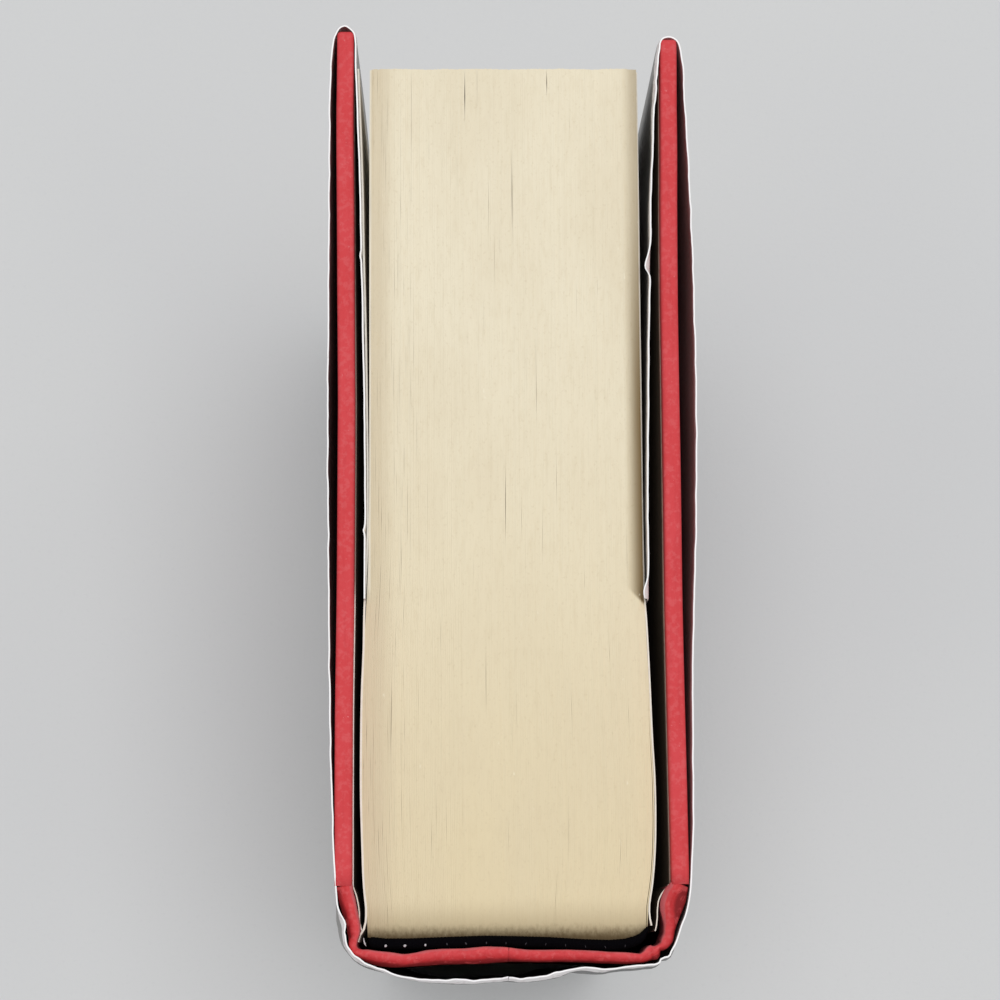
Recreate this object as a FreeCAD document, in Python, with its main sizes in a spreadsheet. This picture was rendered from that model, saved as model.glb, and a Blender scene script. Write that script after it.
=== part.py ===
import FreeCAD, Part

# A thick hardback book with a dust jacket, standing on its tail edge.
# +Z is up (tail to head), +Y runs from the spine to the fore-edge, and +X is the front cover's side.
# The origin is the middle of the book's footprint, on the table.
# Almost every piece is an upright prism, so each is drawn as a plan outline and raised.

import os
import re

import Sketcher
from FreeCAD import Vector

NOTES_AND_CELLS = [
    ("Height of the case, tail to head", "case_height", 241.4),
    ("Height of the trimmed pages", "page_height", 235.0),
    ("Covering paper of the case", "covering", 0.3),
    ("Endpaper", "leaf", 0.2),
    ("Jacket paper", "jacket", 0.25),
    ("Air left between pieces that lie on each other", "air", 0.05),
    # The text block in plan
    ("Spine side of the pages at its corners", "page_back", -75.9),
    ("Swell of the rounded back at its middle", "page_round", 0.9),
    ("Fore-edge of the pages", "page_front", 77.85),
    ("Width of the spine corner's rounding", "page_corner", 2.0),
    ("Where the flaps end and the pages swell", "flap_end", -19.0),
    ("Where the swelling is complete", "swell_end", -46.0),
    ("Front side of the pages under the flap", "front_page", 23.1),
    ("Front side of the pages past the flap", "front_swell", 24.1),
    ("Back side of the pages under the flap", "back_page", 24.8),
    ("Back side of the pages past the flap", "back_swell", 25.9),
    # The covered boards in plan
    ("Spine side of both boards", "hinge_line", -68.5),
    ("Thickness of a covered board", "cover_thick", 3.0),
    ("Inner face of the front cover", "front_inner", 27.0),
    ("Inner face of the back cover", "back_inner", 27.8),
    ("Fore-edge of the front cover", "front_reach", 82.05),
    ("Fore-edge of the back cover", "back_reach", 83.85),
    ("Rounding of a covered board's fore-edge corners", "board_edge", 1.1),
    ("Width of the covering turned in", "turn_in", 15.0),
    ("Pastedown's distance from the cover's edge", "paste_margin", 3.2),
    # The spine of the case in plan
    ("Outer face of the spine", "spine_outer", -81.3),
    ("Inner face of the spine", "spine_inner", -79.0),
    ("Front end of the spine board", "front_spine", 24.0),
    ("Back end of the spine board", "back_spine", 26.2),
    ("Joint strip's shoulder behind the board's edge", "shoulder_drop", 5.5),
    ("Joint strip's shoulder inside the cover's face", "shoulder_lean", 1.7),
    ("Thickness of the doubled joint strip", "joint_thick", 2.1),
    ("Joint strip's corner beyond the spine board", "corner_out", 1.8),
    # Lining and bands
    ("Spine lining", "lining", 0.5),
    ("Headband's tape on the spine", "band_tape", 12.0),
    ("Thickness of that tape", "tape_thick", 0.4),
    ("Height of the headband's bead over the pages", "bead", 1.5),
    ("Reach of the bead over the pages", "bead_lap", 0.5),
    ("Reach of the bead behind the pages", "bead_back", 1.7),
    # The jacket in plan, centre of the book to the paper's outer face
    ("Front panel at the board's spine edge", "front_panel", 30.3),
    ("Front panel at its widest", "front_bulge", 32.68),
    ("Front panel beside the fold", "front_lip", 30.8),
    ("Back panel at the board's spine edge", "back_panel", 31.1),
    ("Back panel at its widest", "back_bulge", 32.69),
    ("Back panel beside the fold", "back_lip", 31.6),
    ("Where each panel is widest", "bulge_place", 8.0),
    ("Jacket past the fore-edge of the front cover", "front_wrap", 82.65),
    ("Jacket past the fore-edge of the back cover", "back_wrap", 85.15),
    ("Depth of the jacket's fold round the fore-edge", "fold_depth", 2.5),
    ("Front flap beside the fold", "front_flap_root", 26.5),
    ("Front flap at its free edge", "front_flap_tip", 23.65),
    ("Back flap beside the fold", "back_flap_root", 27.1),
    ("Back flap at its free edge", "back_flap_tip", 25.5),
    ("Slack that a flap bows towards the pages", "flap_bow", 0.5),
    ("Place of that bow", "flap_bow_place", 32.0),
    ("Jacket's corner beyond the spine board", "jacket_corner", 1.3),
    ("Jacket's lean in over each joint", "jacket_lean", 1.3),
    ("Jacket at the spine's corners", "jacket_heel", -81.5),
    ("Jacket's furthest point behind the spine", "jacket_back", -85.15),
]

SIDES = (("front", 1), ("back", -1))

doc = FreeCAD.newDocument("hardback_book")
sheet = doc.addObject("Spreadsheet::Sheet", "Dims")
for row, (note, alias, value) in enumerate(NOTES_AND_CELLS, start=1):
    sheet.set(f"A{row}", note)
    sheet.set(f"B{row}", str(value))
    sheet.setAlias(f"B{row}", alias)
doc.recompute()


def bound(text):
    """An expression over the sheet's words, spelled as the document wants it."""
    return re.sub(r"[a-z][a-z_]*", lambda word: "Dims." + word.group(0), text)


def measure(text):
    """What such an expression is worth now, in millimetres."""
    return float(sheet.evalExpression(bound(text)))


def spot(place):
    """A plan position written as two expressions."""
    return Vector(measure(place[0]), measure(place[1]), 0)


def pin(sketch, geometry, end, place):
    """Tie one point of a sketch to its two expressions."""
    for kind, text in zip(("DistanceX", "DistanceY"), place):
        number = sketch.addConstraint(Sketcher.Constraint(kind, -1, 1, geometry, end, measure(text)))
        sketch.setExpression(f"Constraints[{number}]", bound(text))


def draw(sketch, start, steps, closed):
    """Draw lines and arcs through bound points. A step is (end,) or (point on the arc, end)."""
    runs = []
    here = start
    for step in steps:
        if len(step) == 1:
            run = sketch.addGeometry(Part.LineSegment(spot(here), spot(step[-1])))
            first_end = 1
        else:
            run = sketch.addGeometry(Part.ArcOfCircle(spot(here), spot(step[0]), spot(step[-1])))
            starts_here = sketch.getPoint(run, 1).distanceToPoint(spot(here)) < 1e-6
            first_end = 1 if starts_here else 2
            middle = sketch.addGeometry(Part.Point(spot(step[0])), True)
            sketch.addConstraint(Sketcher.Constraint("PointOnObject", middle, 1, run))
            pin(sketch, middle, 1, step[0])
        pin(sketch, run, first_end, here)
        runs.append((run, first_end, 3 - first_end))
        here = step[-1]
    for (run, _, last), (following, first, _) in zip(runs, runs[1:]):
        sketch.addConstraint(Sketcher.Constraint("Coincident", run, last, following, first))
    final, _, last = runs[-1]
    if closed:
        sketch.addConstraint(Sketcher.Constraint("Coincident", final, last, runs[0][0], runs[0][1]))
    else:
        pin(sketch, final, last, here)


def new_body(label):
    body = doc.addObject("PartDesign::Body", label)
    body.Label = label
    return body


def plan(body, name, corners, floor):
    """A closed plan outline inside a body, lifted to the height called floor."""
    sketch = body.newObject("Sketcher::SketchObject", name)
    ground = next(item for item in body.Origin.OriginFeatures if item.Role == "XY_Plane")
    sketch.AttachmentSupport = [(ground, "")]
    sketch.MapMode = "FlatFace"
    sketch.setExpression(".AttachmentOffset.Base.z", bound(floor))
    draw(sketch, corners[0], corners[1:] + [(corners[0],)], closed=True)
    return sketch


def raise_up(body, name, corners, floor, height):
    """Pad a plan outline upwards from floor."""
    pad = body.newObject("PartDesign::Pad", name)
    pad.Profile = plan(body, name + "_plan", corners, floor)
    pad.setExpression("Length", bound(height))
    doc.recompute()
    return pad


def hollow(body, name, corners, floor, height):
    """Cut a plan outline out upwards from floor."""
    before = body.Shape.Volume
    pocket = body.newObject("PartDesign::Pocket", name)
    pocket.Profile = plan(body, name + "_plan", corners, floor)
    pocket.Reversed = True
    pocket.setExpression("Length", bound(height))
    doc.recompute()
    if body.Shape.Volume >= before:
        raise RuntimeError(name + " cuts nothing")
    return pocket


def rectangle(near_x, near_y, far_x, far_y):
    """The corners of a plan rectangle."""
    return [(near_x, near_y), ((far_x, near_y),), ((far_x, far_y),), ((near_x, far_y),)]


def paper(label, start, steps, ply, floor, height):
    """A sheet of paper that stands on its edge and follows a path; ply is signed by its side."""
    path = doc.addObject("Sketcher::SketchObject", label + "_path")
    path.setExpression(".Placement.Base.z", bound(floor))
    draw(path, start, steps, closed=False)
    section = doc.addObject("Part::Offset2D", label + "_section")
    section.Source = path
    section.Fill = True
    section.Mode = "Skin"
    section.Join = "Intersection"
    section.Value = measure(ply)
    section.setExpression("Value", bound(ply))
    sheet_of_paper = doc.addObject("Part::Extrusion", label)
    sheet_of_paper.Label = label
    sheet_of_paper.Base = section
    sheet_of_paper.DirMode = "Custom"
    sheet_of_paper.Dir = Vector(0, 0, 1)
    sheet_of_paper.Solid = True
    sheet_of_paper.setExpression("LengthFwd", bound(height))
    doc.recompute()
    return sheet_of_paper


TABLE = "0 * case_height"
PAGE_FLOOR = "(case_height - page_height) / 2"
ARC_CUT = round(1 - 0.5 ** 0.5, 4)  # how far a quarter round's middle lies inside its square corner


def make_text_block():
    """The trimmed pages: a little thicker past the flaps, with a softly rounded back."""
    body = new_body("text_block")
    corners = [
        ("front_page", "page_front"),
        (("-back_page", "page_front"),),
        (("-back_page", "flap_end"),),
        (("-back_swell", "swell_end"),),
        (("-back_swell", "page_back + page_corner"),),
        (("page_corner / 2 - back_swell", "page_back"),),
        (("(front_swell - back_swell) / 2", "page_back - page_round"),
         ("front_swell - page_corner / 2", "page_back")),
        (("front_swell", "page_back + page_corner"),),
        (("front_swell", "swell_end"),),
        (("front_page", "flap_end"),),
    ]
    raise_up(body, "pages", corners, PAGE_FLOOR, "page_height")
    return body


def make_flyleaf(name, sign):
    """The free leaf of an endpaper, lying along the side of the pages."""
    def side(text):
        return f"{sign} * ({text})"
    start = (side(f"{name}_swell + air"), "page_back + page_corner + 1")
    steps = [
        ((side(f"{name}_swell + air"), "swell_end"),),
        ((side(f"{name}_page + air"), "flap_end"),),
    ]
    if name == "back":
        # The back leaf leans away from the pages towards the fore-edge, and follows its flap.
        steps.append(((side("back_page + leaf * 2"), "flap_bow_place"),
                      (side("back_flap_root - leaf * 4"), "page_front")))
    else:
        steps.append(((side("front_page + air"), "page_front"),))
    return paper(f"{name}_flyleaf", start, steps, f"{sign} * leaf", PAGE_FLOOR, "page_height")


def cover_outline(name, sign, inset):
    """A covered board in plan, its two fore-edge corners rounded, shrunk by inset."""
    radius = f"(board_edge - {inset})"
    inner = f"({name}_inner + {inset})"
    outer = f"({name}_inner + cover_thick - {inset})"
    reach = f"({name}_reach - {inset})"
    return [
        (f"{sign} * {inner}", "hinge_line"),
        ((f"{sign} * {outer}", "hinge_line"),),
        ((f"{sign} * {outer}", f"{reach} - {radius}"),),
        ((f"{sign} * ({outer} - {ARC_CUT} * {radius})", f"{reach} - {ARC_CUT} * {radius}"),
         (f"{sign} * ({outer} - {radius})", reach)),
        ((f"{sign} * ({inner} + {radius})", reach),),
        ((f"{sign} * ({inner} + {ARC_CUT} * {radius})", f"{reach} - {ARC_CUT} * {radius}"),
         (f"{sign} * {inner}", f"{reach} - {radius}")),
    ]


def make_board(name, sign):
    """A binder's board, the stiff core of one cover."""
    body = new_body(f"{name}_board")
    raise_up(body, f"{name}_core", cover_outline(name, sign, "covering"), "covering",
             "case_height - 2 * covering")
    return body


def make_cover_paper(name, sign):
    """Covering paper round one board: outer face, three wrapped edges and the turned-in border."""
    body = new_body(f"{name}_cover_paper")
    raise_up(body, f"{name}_wrap", cover_outline(name, sign, "0 * covering"), TABLE, "case_height")
    hollow(body, f"{name}_room", cover_outline(name, sign, "covering"), "covering",
           "case_height - 2 * covering")
    window = rectangle(f"{sign} * {name}_inner", "hinge_line",
                       f"{sign} * ({name}_inner + covering)", f"{name}_reach - turn_in")
    hollow(body, f"{name}_window", window, "turn_in", "case_height - 2 * turn_in")
    return body


def make_pastedown(name, sign):
    """The glued half of an endpaper: it fills the window and laps over the turned-in border."""
    body = new_body(f"{name}_pastedown")
    face = f"{sign} * ({name}_inner - leaf)"
    lap = rectangle(face, "hinge_line", f"{sign} * {name}_inner", f"{name}_reach - paste_margin")
    raise_up(body, f"{name}_lap", lap, "paste_margin", "case_height - 2 * paste_margin")
    window = rectangle(f"{sign} * {name}_inner", "hinge_line",
                       f"{sign} * ({name}_inner + covering)", f"{name}_reach - turn_in")
    raise_up(body, f"{name}_fill", window, "turn_in", "case_height - 2 * turn_in")
    return body


def make_endpaper_hinge(name, sign):
    """The strip of endpaper that crosses the joint from the board to the shoulder of the pages."""
    def side(text):
        return f"{sign} * ({text})"
    start = (side(f"{name}_inner - leaf"), "hinge_line")
    steps = [
        ((side(f"{name}_inner - 0.9"), "hinge_line - 1.6"),
         (side(f"{name}_swell + leaf + 1.1"), "hinge_line - 3.4")),
        ((side(f"{name}_swell + 0.55"), "page_back + 0.6"),),
    ]
    return paper(f"{name}_endpaper_hinge", start, steps, f"{sign} * leaf", "paste_margin",
                 "case_height - 2 * paste_margin")


def make_spine_board():
    """The flat stiffener inside the spine of the case."""
    body = new_body("spine_board")
    corners = rectangle("covering - back_spine", "spine_outer + covering",
                        "front_spine - covering", "spine_inner - covering")
    raise_up(body, "stiffener", corners, "covering", "case_height - 2 * covering")
    return body


def joint_outline(name, sign, inset):
    """One half of the spine covering's band in plan, board edge to spine, outside and inside."""
    def side(text):
        return f"{sign} * ({text})"
    face = f"{name}_inner + cover_thick"
    outside = [
        (side(f"{face} - {inset}"), "hinge_line"),
        (side(f"{face} - shoulder_lean - {inset}"), "hinge_line - shoulder_drop"),
        (side(f"{name}_spine + corner_out - {inset}"), "spine_inner"),
        (side(f"{name}_spine"), f"spine_outer + {inset}"),
    ]
    inside = [
        (side(f"{name}_spine"), f"spine_inner - {inset}"),
        (side(f"{face} - shoulder_lean - joint_thick + {inset}"), "hinge_line - shoulder_drop"),
        (side(f"{name}_inner + {inset}"), "hinge_line"),
    ]
    return outside, inside


def band_outline(inset):
    """The whole band: front joint, spine and back joint, shrunk by inset from every face."""
    front_outside, front_inside = joint_outline("front", 1, inset)
    back_outside, back_inside = joint_outline("back", -1, inset)
    loop = front_outside + back_outside[::-1] + back_inside[::-1] + front_inside
    return [loop[0]] + [(corner,) for corner in loop[1:]]


def make_spine_cover_paper():
    """Covering paper over the spine and the joints, turned in double at head and tail."""
    body = new_body("spine_cover_paper")
    raise_up(body, "band", band_outline("0 * covering"), TABLE, "case_height")
    hollow(body, "band_room", band_outline("covering"), "covering", "case_height - 2 * covering")
    front_outside, _ = joint_outline("front", 1, "covering")
    back_outside, _ = joint_outline("back", -1, "covering")
    loop = front_outside + back_outside[::-1]
    everything_inside = [loop[0]] + [(corner,) for corner in loop[1:]]
    hollow(body, "band_window", everything_inside, "turn_in", "case_height - 2 * turn_in")
    return body


def make_spine_lining():
    """Lining glued over the back of the pages, between the two bands' tapes."""
    start = ("page_corner / 2 - back_swell", "page_back - air")
    steps = [(("(front_swell - back_swell) / 2", "page_back - page_round - air"),
              ("front_swell - page_corner / 2", "page_back - air"))]
    return paper("spine_lining", start, steps, "-lining", PAGE_FLOOR + " + band_tape",
                 "page_height - 2 * band_tape")


def make_band(label, is_head):
    """A worked band: a rounded bead over the spine edge of the pages, on a tape glued below it."""
    body = new_body(label)
    sketch = body.newObject("Sketcher::SketchObject", label + "_section")
    side_plane = next(item for item in body.Origin.OriginFeatures if item.Role == "YZ_Plane")
    sketch.AttachmentSupport = [(side_plane, "")]
    sketch.MapMode = "FlatFace"
    sketch.setExpression(".AttachmentOffset.Base.z", bound("page_corner / 2 - back_swell"))
    pages_end = f"{PAGE_FLOOR} + page_height" if is_head else PAGE_FLOOR
    up = 1 if is_head else -1
    back = "page_back - page_round - air"

    def level(text):
        return f"{pages_end} + {up} * ({text})"
    draw(sketch, (back, level("-band_tape")), [
        ((back, level("air")),),
        ((f"{back} + bead_lap", level("air")),),
        ((f"{back} + (bead_lap - bead_back) / 2", level("bead")),
         (f"{back} - bead_back", level("-bead / 2"))),
        ((f"{back} - tape_thick", level("-bead * 1.5")),),
        ((f"{back} - tape_thick", level("-band_tape")),),
        ((back, level("-band_tape")),),
    ], closed=True)
    pad = body.newObject("PartDesign::Pad", label + "_length")
    pad.Profile = sketch
    pad.setExpression("Length", bound("front_swell + back_swell - page_corner"))
    doc.recompute()
    return body


def make_jacket_panel(name, sign):
    """One jacket panel: bowed off the board, folded round the fore-edge, and back as the flap."""
    def side(text):
        return f"{sign} * ({text})"
    start = (side(f"{name}_panel"), "hinge_line")
    steps = [
        ((side(f"{name}_bulge"), "bulge_place"),
         (side(f"{name}_lip"), f"{name}_wrap - fold_depth")),
        ((side(f"({name}_lip + {name}_flap_root) / 2"), f"{name}_wrap"),
         (side(f"{name}_flap_root"), f"{name}_wrap - fold_depth")),
        ((side(f"({name}_flap_root + {name}_flap_tip) / 2 - flap_bow"), "flap_bow_place"),
         (side(f"{name}_flap_tip"), "flap_end")),
    ]
    return paper(f"jacket_{name}", start, steps, f"{-sign} * jacket", "2 * air", "case_height - 4 * air")


def make_jacket_spine():
    """The jacket's spine, standing off the case's spine in a slack bow, with its two corners."""
    joint_middle = "(hinge_line + jacket_heel) / 2"
    front_heel = ("front_spine + jacket_corner", "jacket_heel")
    back_heel = ("-(back_spine + jacket_corner)", "jacket_heel")
    front_end = ("front_panel", "hinge_line - air")
    back_end = ("-back_panel", "hinge_line - air")
    steps = [
        (("front_panel - jacket_lean", joint_middle), front_heel),
        (("(front_spine - back_spine) / 2", "jacket_back"), back_heel),
        (("jacket_lean - back_panel", joint_middle), back_end),
    ]
    return paper("jacket_spine", front_end, steps, "jacket", "2 * air", "case_height - 4 * air")


def make_everything():
    """Every piece of the book, in the order in which a binder would name them."""
    pieces = [make_text_block(), make_spine_lining()]
    pieces.append(make_band("headband", True))
    pieces.append(make_band("tailband", False))
    pieces.append(make_spine_board())
    pieces.append(make_spine_cover_paper())
    for name, sign in SIDES:
        pieces.append(make_flyleaf(name, sign))
        pieces.append(make_endpaper_hinge(name, sign))
        pieces.append(make_board(name, sign))
        pieces.append(make_cover_paper(name, sign))
        pieces.append(make_pastedown(name, sign))
        pieces.append(make_jacket_panel(name, sign))
    pieces.append(make_jacket_spine())
    return pieces


def check(pieces):
    """Stop if any step of the document failed, or if a piece isn't a sound solid."""
    doc.recompute()
    for item in doc.Objects:
        if "Invalid" in item.State or "Error" in item.State:
            raise RuntimeError(item.Name + " failed")
    for piece in pieces:
        shape = piece.Shape
        if shape.isNull() or not shape.isValid() or len(shape.Solids) != 1:
            raise RuntimeError(piece.Label + " is not one sound solid")


def export(pieces):
    """Write each piece to its own file."""
    os.makedirs("parts", exist_ok=True)
    for piece in pieces:
        piece.Shape.exportStep(f"parts/{piece.Label}.step")
        box = piece.Shape.BoundBox
        print(f"{piece.Label}: x {box.XMin:.2f} {box.XMax:.2f}  y {box.YMin:.2f} {box.YMax:.2f}  "
              f"z {box.ZMin:.2f} {box.ZMax:.2f}  {piece.Shape.Volume / 1000:.2f} cm3")


book = make_everything()
check(book)
export(book)
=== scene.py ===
# %% [markdown]
# # A hardback book with a dust jacket, standing on its tail
# The imported solids give the book's bodies and sizes. This script dresses them: it adds the pages, papers,
# threads and finishes that show, and hangs the rigid pieces of the book on the bodies that carry them.

# %% Load the imported solids
import math

import bmesh
import bpy
import numpy as np
from mathutils import Matrix, Vector


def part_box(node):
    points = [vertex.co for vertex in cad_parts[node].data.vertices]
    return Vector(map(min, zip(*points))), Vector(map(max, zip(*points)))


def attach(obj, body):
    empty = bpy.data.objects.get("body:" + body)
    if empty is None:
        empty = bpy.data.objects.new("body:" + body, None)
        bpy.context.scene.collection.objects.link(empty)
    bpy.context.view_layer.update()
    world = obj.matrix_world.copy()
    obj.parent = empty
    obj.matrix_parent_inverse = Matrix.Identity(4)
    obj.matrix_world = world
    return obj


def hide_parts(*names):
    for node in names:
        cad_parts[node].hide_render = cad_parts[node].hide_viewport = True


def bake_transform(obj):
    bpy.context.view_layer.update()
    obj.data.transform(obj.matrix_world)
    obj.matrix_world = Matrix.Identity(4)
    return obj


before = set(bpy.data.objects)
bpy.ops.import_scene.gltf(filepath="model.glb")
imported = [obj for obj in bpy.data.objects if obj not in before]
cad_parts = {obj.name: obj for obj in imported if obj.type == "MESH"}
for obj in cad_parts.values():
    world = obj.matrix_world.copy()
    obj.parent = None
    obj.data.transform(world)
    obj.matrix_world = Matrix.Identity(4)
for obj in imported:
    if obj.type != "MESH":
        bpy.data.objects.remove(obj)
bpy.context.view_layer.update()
MM = 0.001

# %% [markdown]
# ## Camera
# The book is seen from over its spine with a long lens, looking down on its head and a little towards the
# fore-edge. The three columns are the camera's own axes in the book's frame. The upright edges all point
# to one spot of the picture, and that spot gives the tilt.

# %% Camera
LOOK = Matrix(((0.99988461, 0.00328962, -0.01483038),
               (-0.00567424, 0.98648620, -0.16374611),
               (0.01409130, 0.16381137, 0.98639103)))
EYE = Vector((-9.29, -81.95, 724.54)) * MM
camera = bpy.data.objects.new("camera", bpy.data.cameras.new("camera"))
camera.data.lens = 100.8
camera.data.sensor_width = 36.0
camera.matrix_world = Matrix.Translation(EYE) @ LOOK.to_4x4()
bpy.context.scene.collection.objects.link(camera)
bpy.context.scene.camera = camera
print("camera height:", round(EYE.z, 3))

# %% [markdown]
# ## Writing a finish as sums
# A finish is a small graph of nodes. Wrapping one socket in a class lets a mask be written as
# `0.1 + wear * 0.3` and have the Math nodes appear by themselves. Every other node comes from one
# method, which sets a node's settings first and its sockets after.

# %% Strand and Finish
class Strand:
    """One value in a finish. Arithmetic on it adds Math nodes."""

    def __init__(self, finish, socket):
        self.finish, self.socket = finish, socket

    def work(self, operation, *values):
        return self.finish.node("Math", {"operation": operation}, dict(enumerate(values)))

    def __add__(self, other):
        return self.work("ADD", self, other)

    def __sub__(self, other):
        return self.work("SUBTRACT", self, other)

    def __mul__(self, other):
        return self.work("MULTIPLY", self, other)

    def __abs__(self):
        return self.work("ABSOLUTE", self)

    __radd__ = __add__
    __rmul__ = __mul__

    def least(self, other):
        return self.work("MINIMUM", self, other)

    def most(self, other):
        return self.work("MAXIMUM", self, other)

    def step(self, low, high):
        """0 below low, 1 above high, and a smooth rise between them; high may be the lower one."""
        return self.finish.node("MapRange", {"interpolation_type": "SMOOTHSTEP"},
                                {"Value": self, "From Min": low, "From Max": high})


class Finish:
    """A material under construction."""

    def __init__(self, name):
        self.material = bpy.data.materials.new(name)
        self.material.use_nodes = True
        self.tree = self.material.node_tree
        self.tree.nodes.clear()

    def node(self, kind, settings, sockets, output=0):
        made = self.tree.nodes.new("ShaderNode" + kind)
        for key, value in settings.items():
            setattr(made, key, value)
        for key, value in sockets.items():
            if isinstance(value, Strand):
                self.tree.links.new(value.socket, made.inputs[key])
            else:
                made.inputs[key].default_value = value
        return Strand(self, made.outputs[output]) if made.outputs else None


def ink(red, green, blue):
    """A colour as a paint chart gives it, 0 to 255, turned into the light that it sends back."""
    shares = [part / 255 for part in (red, green, blue)]
    return tuple(s / 12.92 if s <= 0.04045 else ((s + 0.055) / 1.055) ** 2.4 for s in shares) + (1.0,)


print("a mid grey sends back", round(ink(128, 128, 128)[0], 3))

# %% [markdown]
# ## The helpers that every finish uses
# Rigid pieces read their place in the book. A paper that bends at the hinge would slide under such a
# pattern when the cover opens, so it reads where it is on the flat sheet instead, from a map that is
# stored on the mesh in metres. A finish starts from one colour, and thin layers of ink go over it.

# %% Places, grain and layers
def place_in_book(finish):
    return finish.node("TexCoord", {}, {}, "Object")


def place_on_sheet(finish):
    return finish.node("UVMap", {"uv_map": "flat"}, {})


def parts_of(place):
    """The three numbers of a place."""
    return [place.finish.node("SeparateXYZ", {}, {0: place}, axis) for axis in "XYZ"]


def grain(place, per_metre, detail=3.0, roughness=0.55):
    """Cloudy variation, 0 to 1: so many clouds per metre, one number or one for each direction."""
    counts = per_metre if isinstance(per_metre, tuple) else (per_metre,) * 3
    stretched = place.finish.node("VectorMath", {"operation": "MULTIPLY"}, {0: place, 1: counts})
    return place.finish.node("TexNoise", {}, {"Vector": stretched, "Scale": 1.0, "Detail": detail,
                                              "Roughness": roughness}, "Fac")


def between(value, low, high, soft):
    """1 from low to high, with soft ends inside them."""
    return value.step(low, low + soft) * value.step(high, high - soft)


def mix(share, first, second):
    """From the first colour to the second, as share goes from 0 to 1."""
    return share.finish.node("Mix", {"data_type": "RGBA"}, {0: share, 6: first, 7: second}, 2)


def layered(colour, *layers):
    """Lay inks over a colour; a layer is how much of it shows, and its red, green and blue."""
    for share, shade in layers:
        colour = mix(share, colour, ink(*shade))
    return colour


def skin(finish, colour, roughness, relief, depth=0.00002, **plain):
    """Close a finish: its surface, its relief with a depth in metres, and the output."""
    bump = finish.node("Bump", {}, {"Strength": 1.0, "Distance": depth, "Height": relief})
    sockets = {"Base Color": colour, "Roughness": roughness, "Normal": bump}
    sockets.update({key.replace("_", " "): value for key, value in plain.items()})
    surface = finish.node("BsdfPrincipled", {}, sockets)
    finish.node("OutputMaterial", {}, {"Surface": surface})
    return finish.material


print("helpers ready:", ", ".join(job.__name__ for job in (grain, between, layered, skin)))

# %% [markdown]
# ## Page edges
# The head of the pages is some nine hundred leaves' edges, guillotined together. Cream wood-pulp paper
# shows as fine lines that run from the spine to the fore-edge, over slow clouds of paler and yellower
# paper, with a few dark dashes of painted shade where sheets stand apart. The lines are noise that changes
# fast across the sheets and slowly along them. The cut is darker by the spine, and a painted shade darkens
# it in under the front flap.

# %% Page finish
def page_finish():
    """Places are in metres: across from back to front, along from spine to fore-edge."""
    paper = Finish("page_edges")
    place = place_in_book(paper)
    across, along, _ = parts_of(place)
    lines = grain(place, (2600, 40, 40))
    fine_lines = grain(place, (7200, 60, 60), 2.0)
    clouds = grain(place, (70, 30, 30)).step(0.36, 0.68)
    mottle = grain(place, (1300, 260, 260), 4.0, 0.6).step(0.45, 0.72)
    specks = grain(place, (2300, 1500, 1500), 2.0)
    gap_shade_dashes = grain(place, (3300, 260, 260)).step(0.66, 0.76)
    pale_flecks = grain(place, (800, 300, 300)).step(0.72, 0.80)
    ragged = grain(place, (1500, 900, 900), 4.0, 0.7)
    back_leaves = across.step(-0.0196, -0.0236)
    first_leaf = across.step(-0.02466, -0.02480) * along.step(-0.0200, -0.0150)
    beside_flap = across.step(0.0198, 0.0232) * (along + across).step(0.0030, 0.0040)
    near_spine = (along + (ragged - 0.5) * 0.0020).step(-0.0748, -0.0775)
    ragged_dark_by_spine = ragged.step(0.62, 0.72) * along.step(-0.0748, -0.0772)
    cream = layered(
        mix(along.step(0.040, -0.085), ink(234, 224, 199), ink(224, 208, 172)),
        (clouds * 0.28, (219, 205, 176)),
        (back_leaves * 0.55, (205, 189, 160)),
        (lines.step(0.50, 0.78) * 0.07, (196, 178, 142)),
        (mottle * 0.15, (204, 187, 154)),
        (fine_lines.step(0.55, 0.80) * 0.08, (188, 170, 132)),
        (specks.step(0.56, 0.76) * 0.20, (196, 178, 143)),
        # Painted shade: dark dashes in the thin gaps where sheets stand apart, more among the back leaves.
        (gap_shade_dashes * (0.08 + back_leaves * 0.30), (140, 124, 96)),
        (first_leaf * 0.6, (242, 237, 222)),
        # Painted shade on the leaves pressed down beside the front flap, deeper towards the flap's end.
        (beside_flap * (0.5 + along.step(0.060, 0.012) * 0.5), (128, 106, 72)),
        (along.step(-0.0700, -0.0768) * 0.55, (160, 142, 108)),
        (near_spine * 0.95, (98, 80, 54)),
        # Ragged darker patches right by the spine.
        (ragged_dark_by_spine * 0.6, (70, 56, 38)),
        (pale_flecks * 0.5, (244, 236, 214)))
    return skin(paper, cream, 0.9, lines * 0.6 + fine_lines * 0.4 + specks * 0.3, Specular_IOR_Level=0.2)


PAGES = page_finish()
print("finish:", PAGES.name)

# %% [markdown]
# ## Red covering paper
# The case is covered in a stout red paper with a soft, slightly fibrous face. It is paler in tiny specks
# and along the edges that have been rubbed. The cover pieces are rigid and read their place in the book;
# the folded strip over the spine and joints reads the flat map. On the strip a painted shade deepens the
# red down the outer side, between case and jacket; the inner side is paler, partly dust and partly painted
# highlight, and brighter patches on its crumples are painted highlights.

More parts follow.
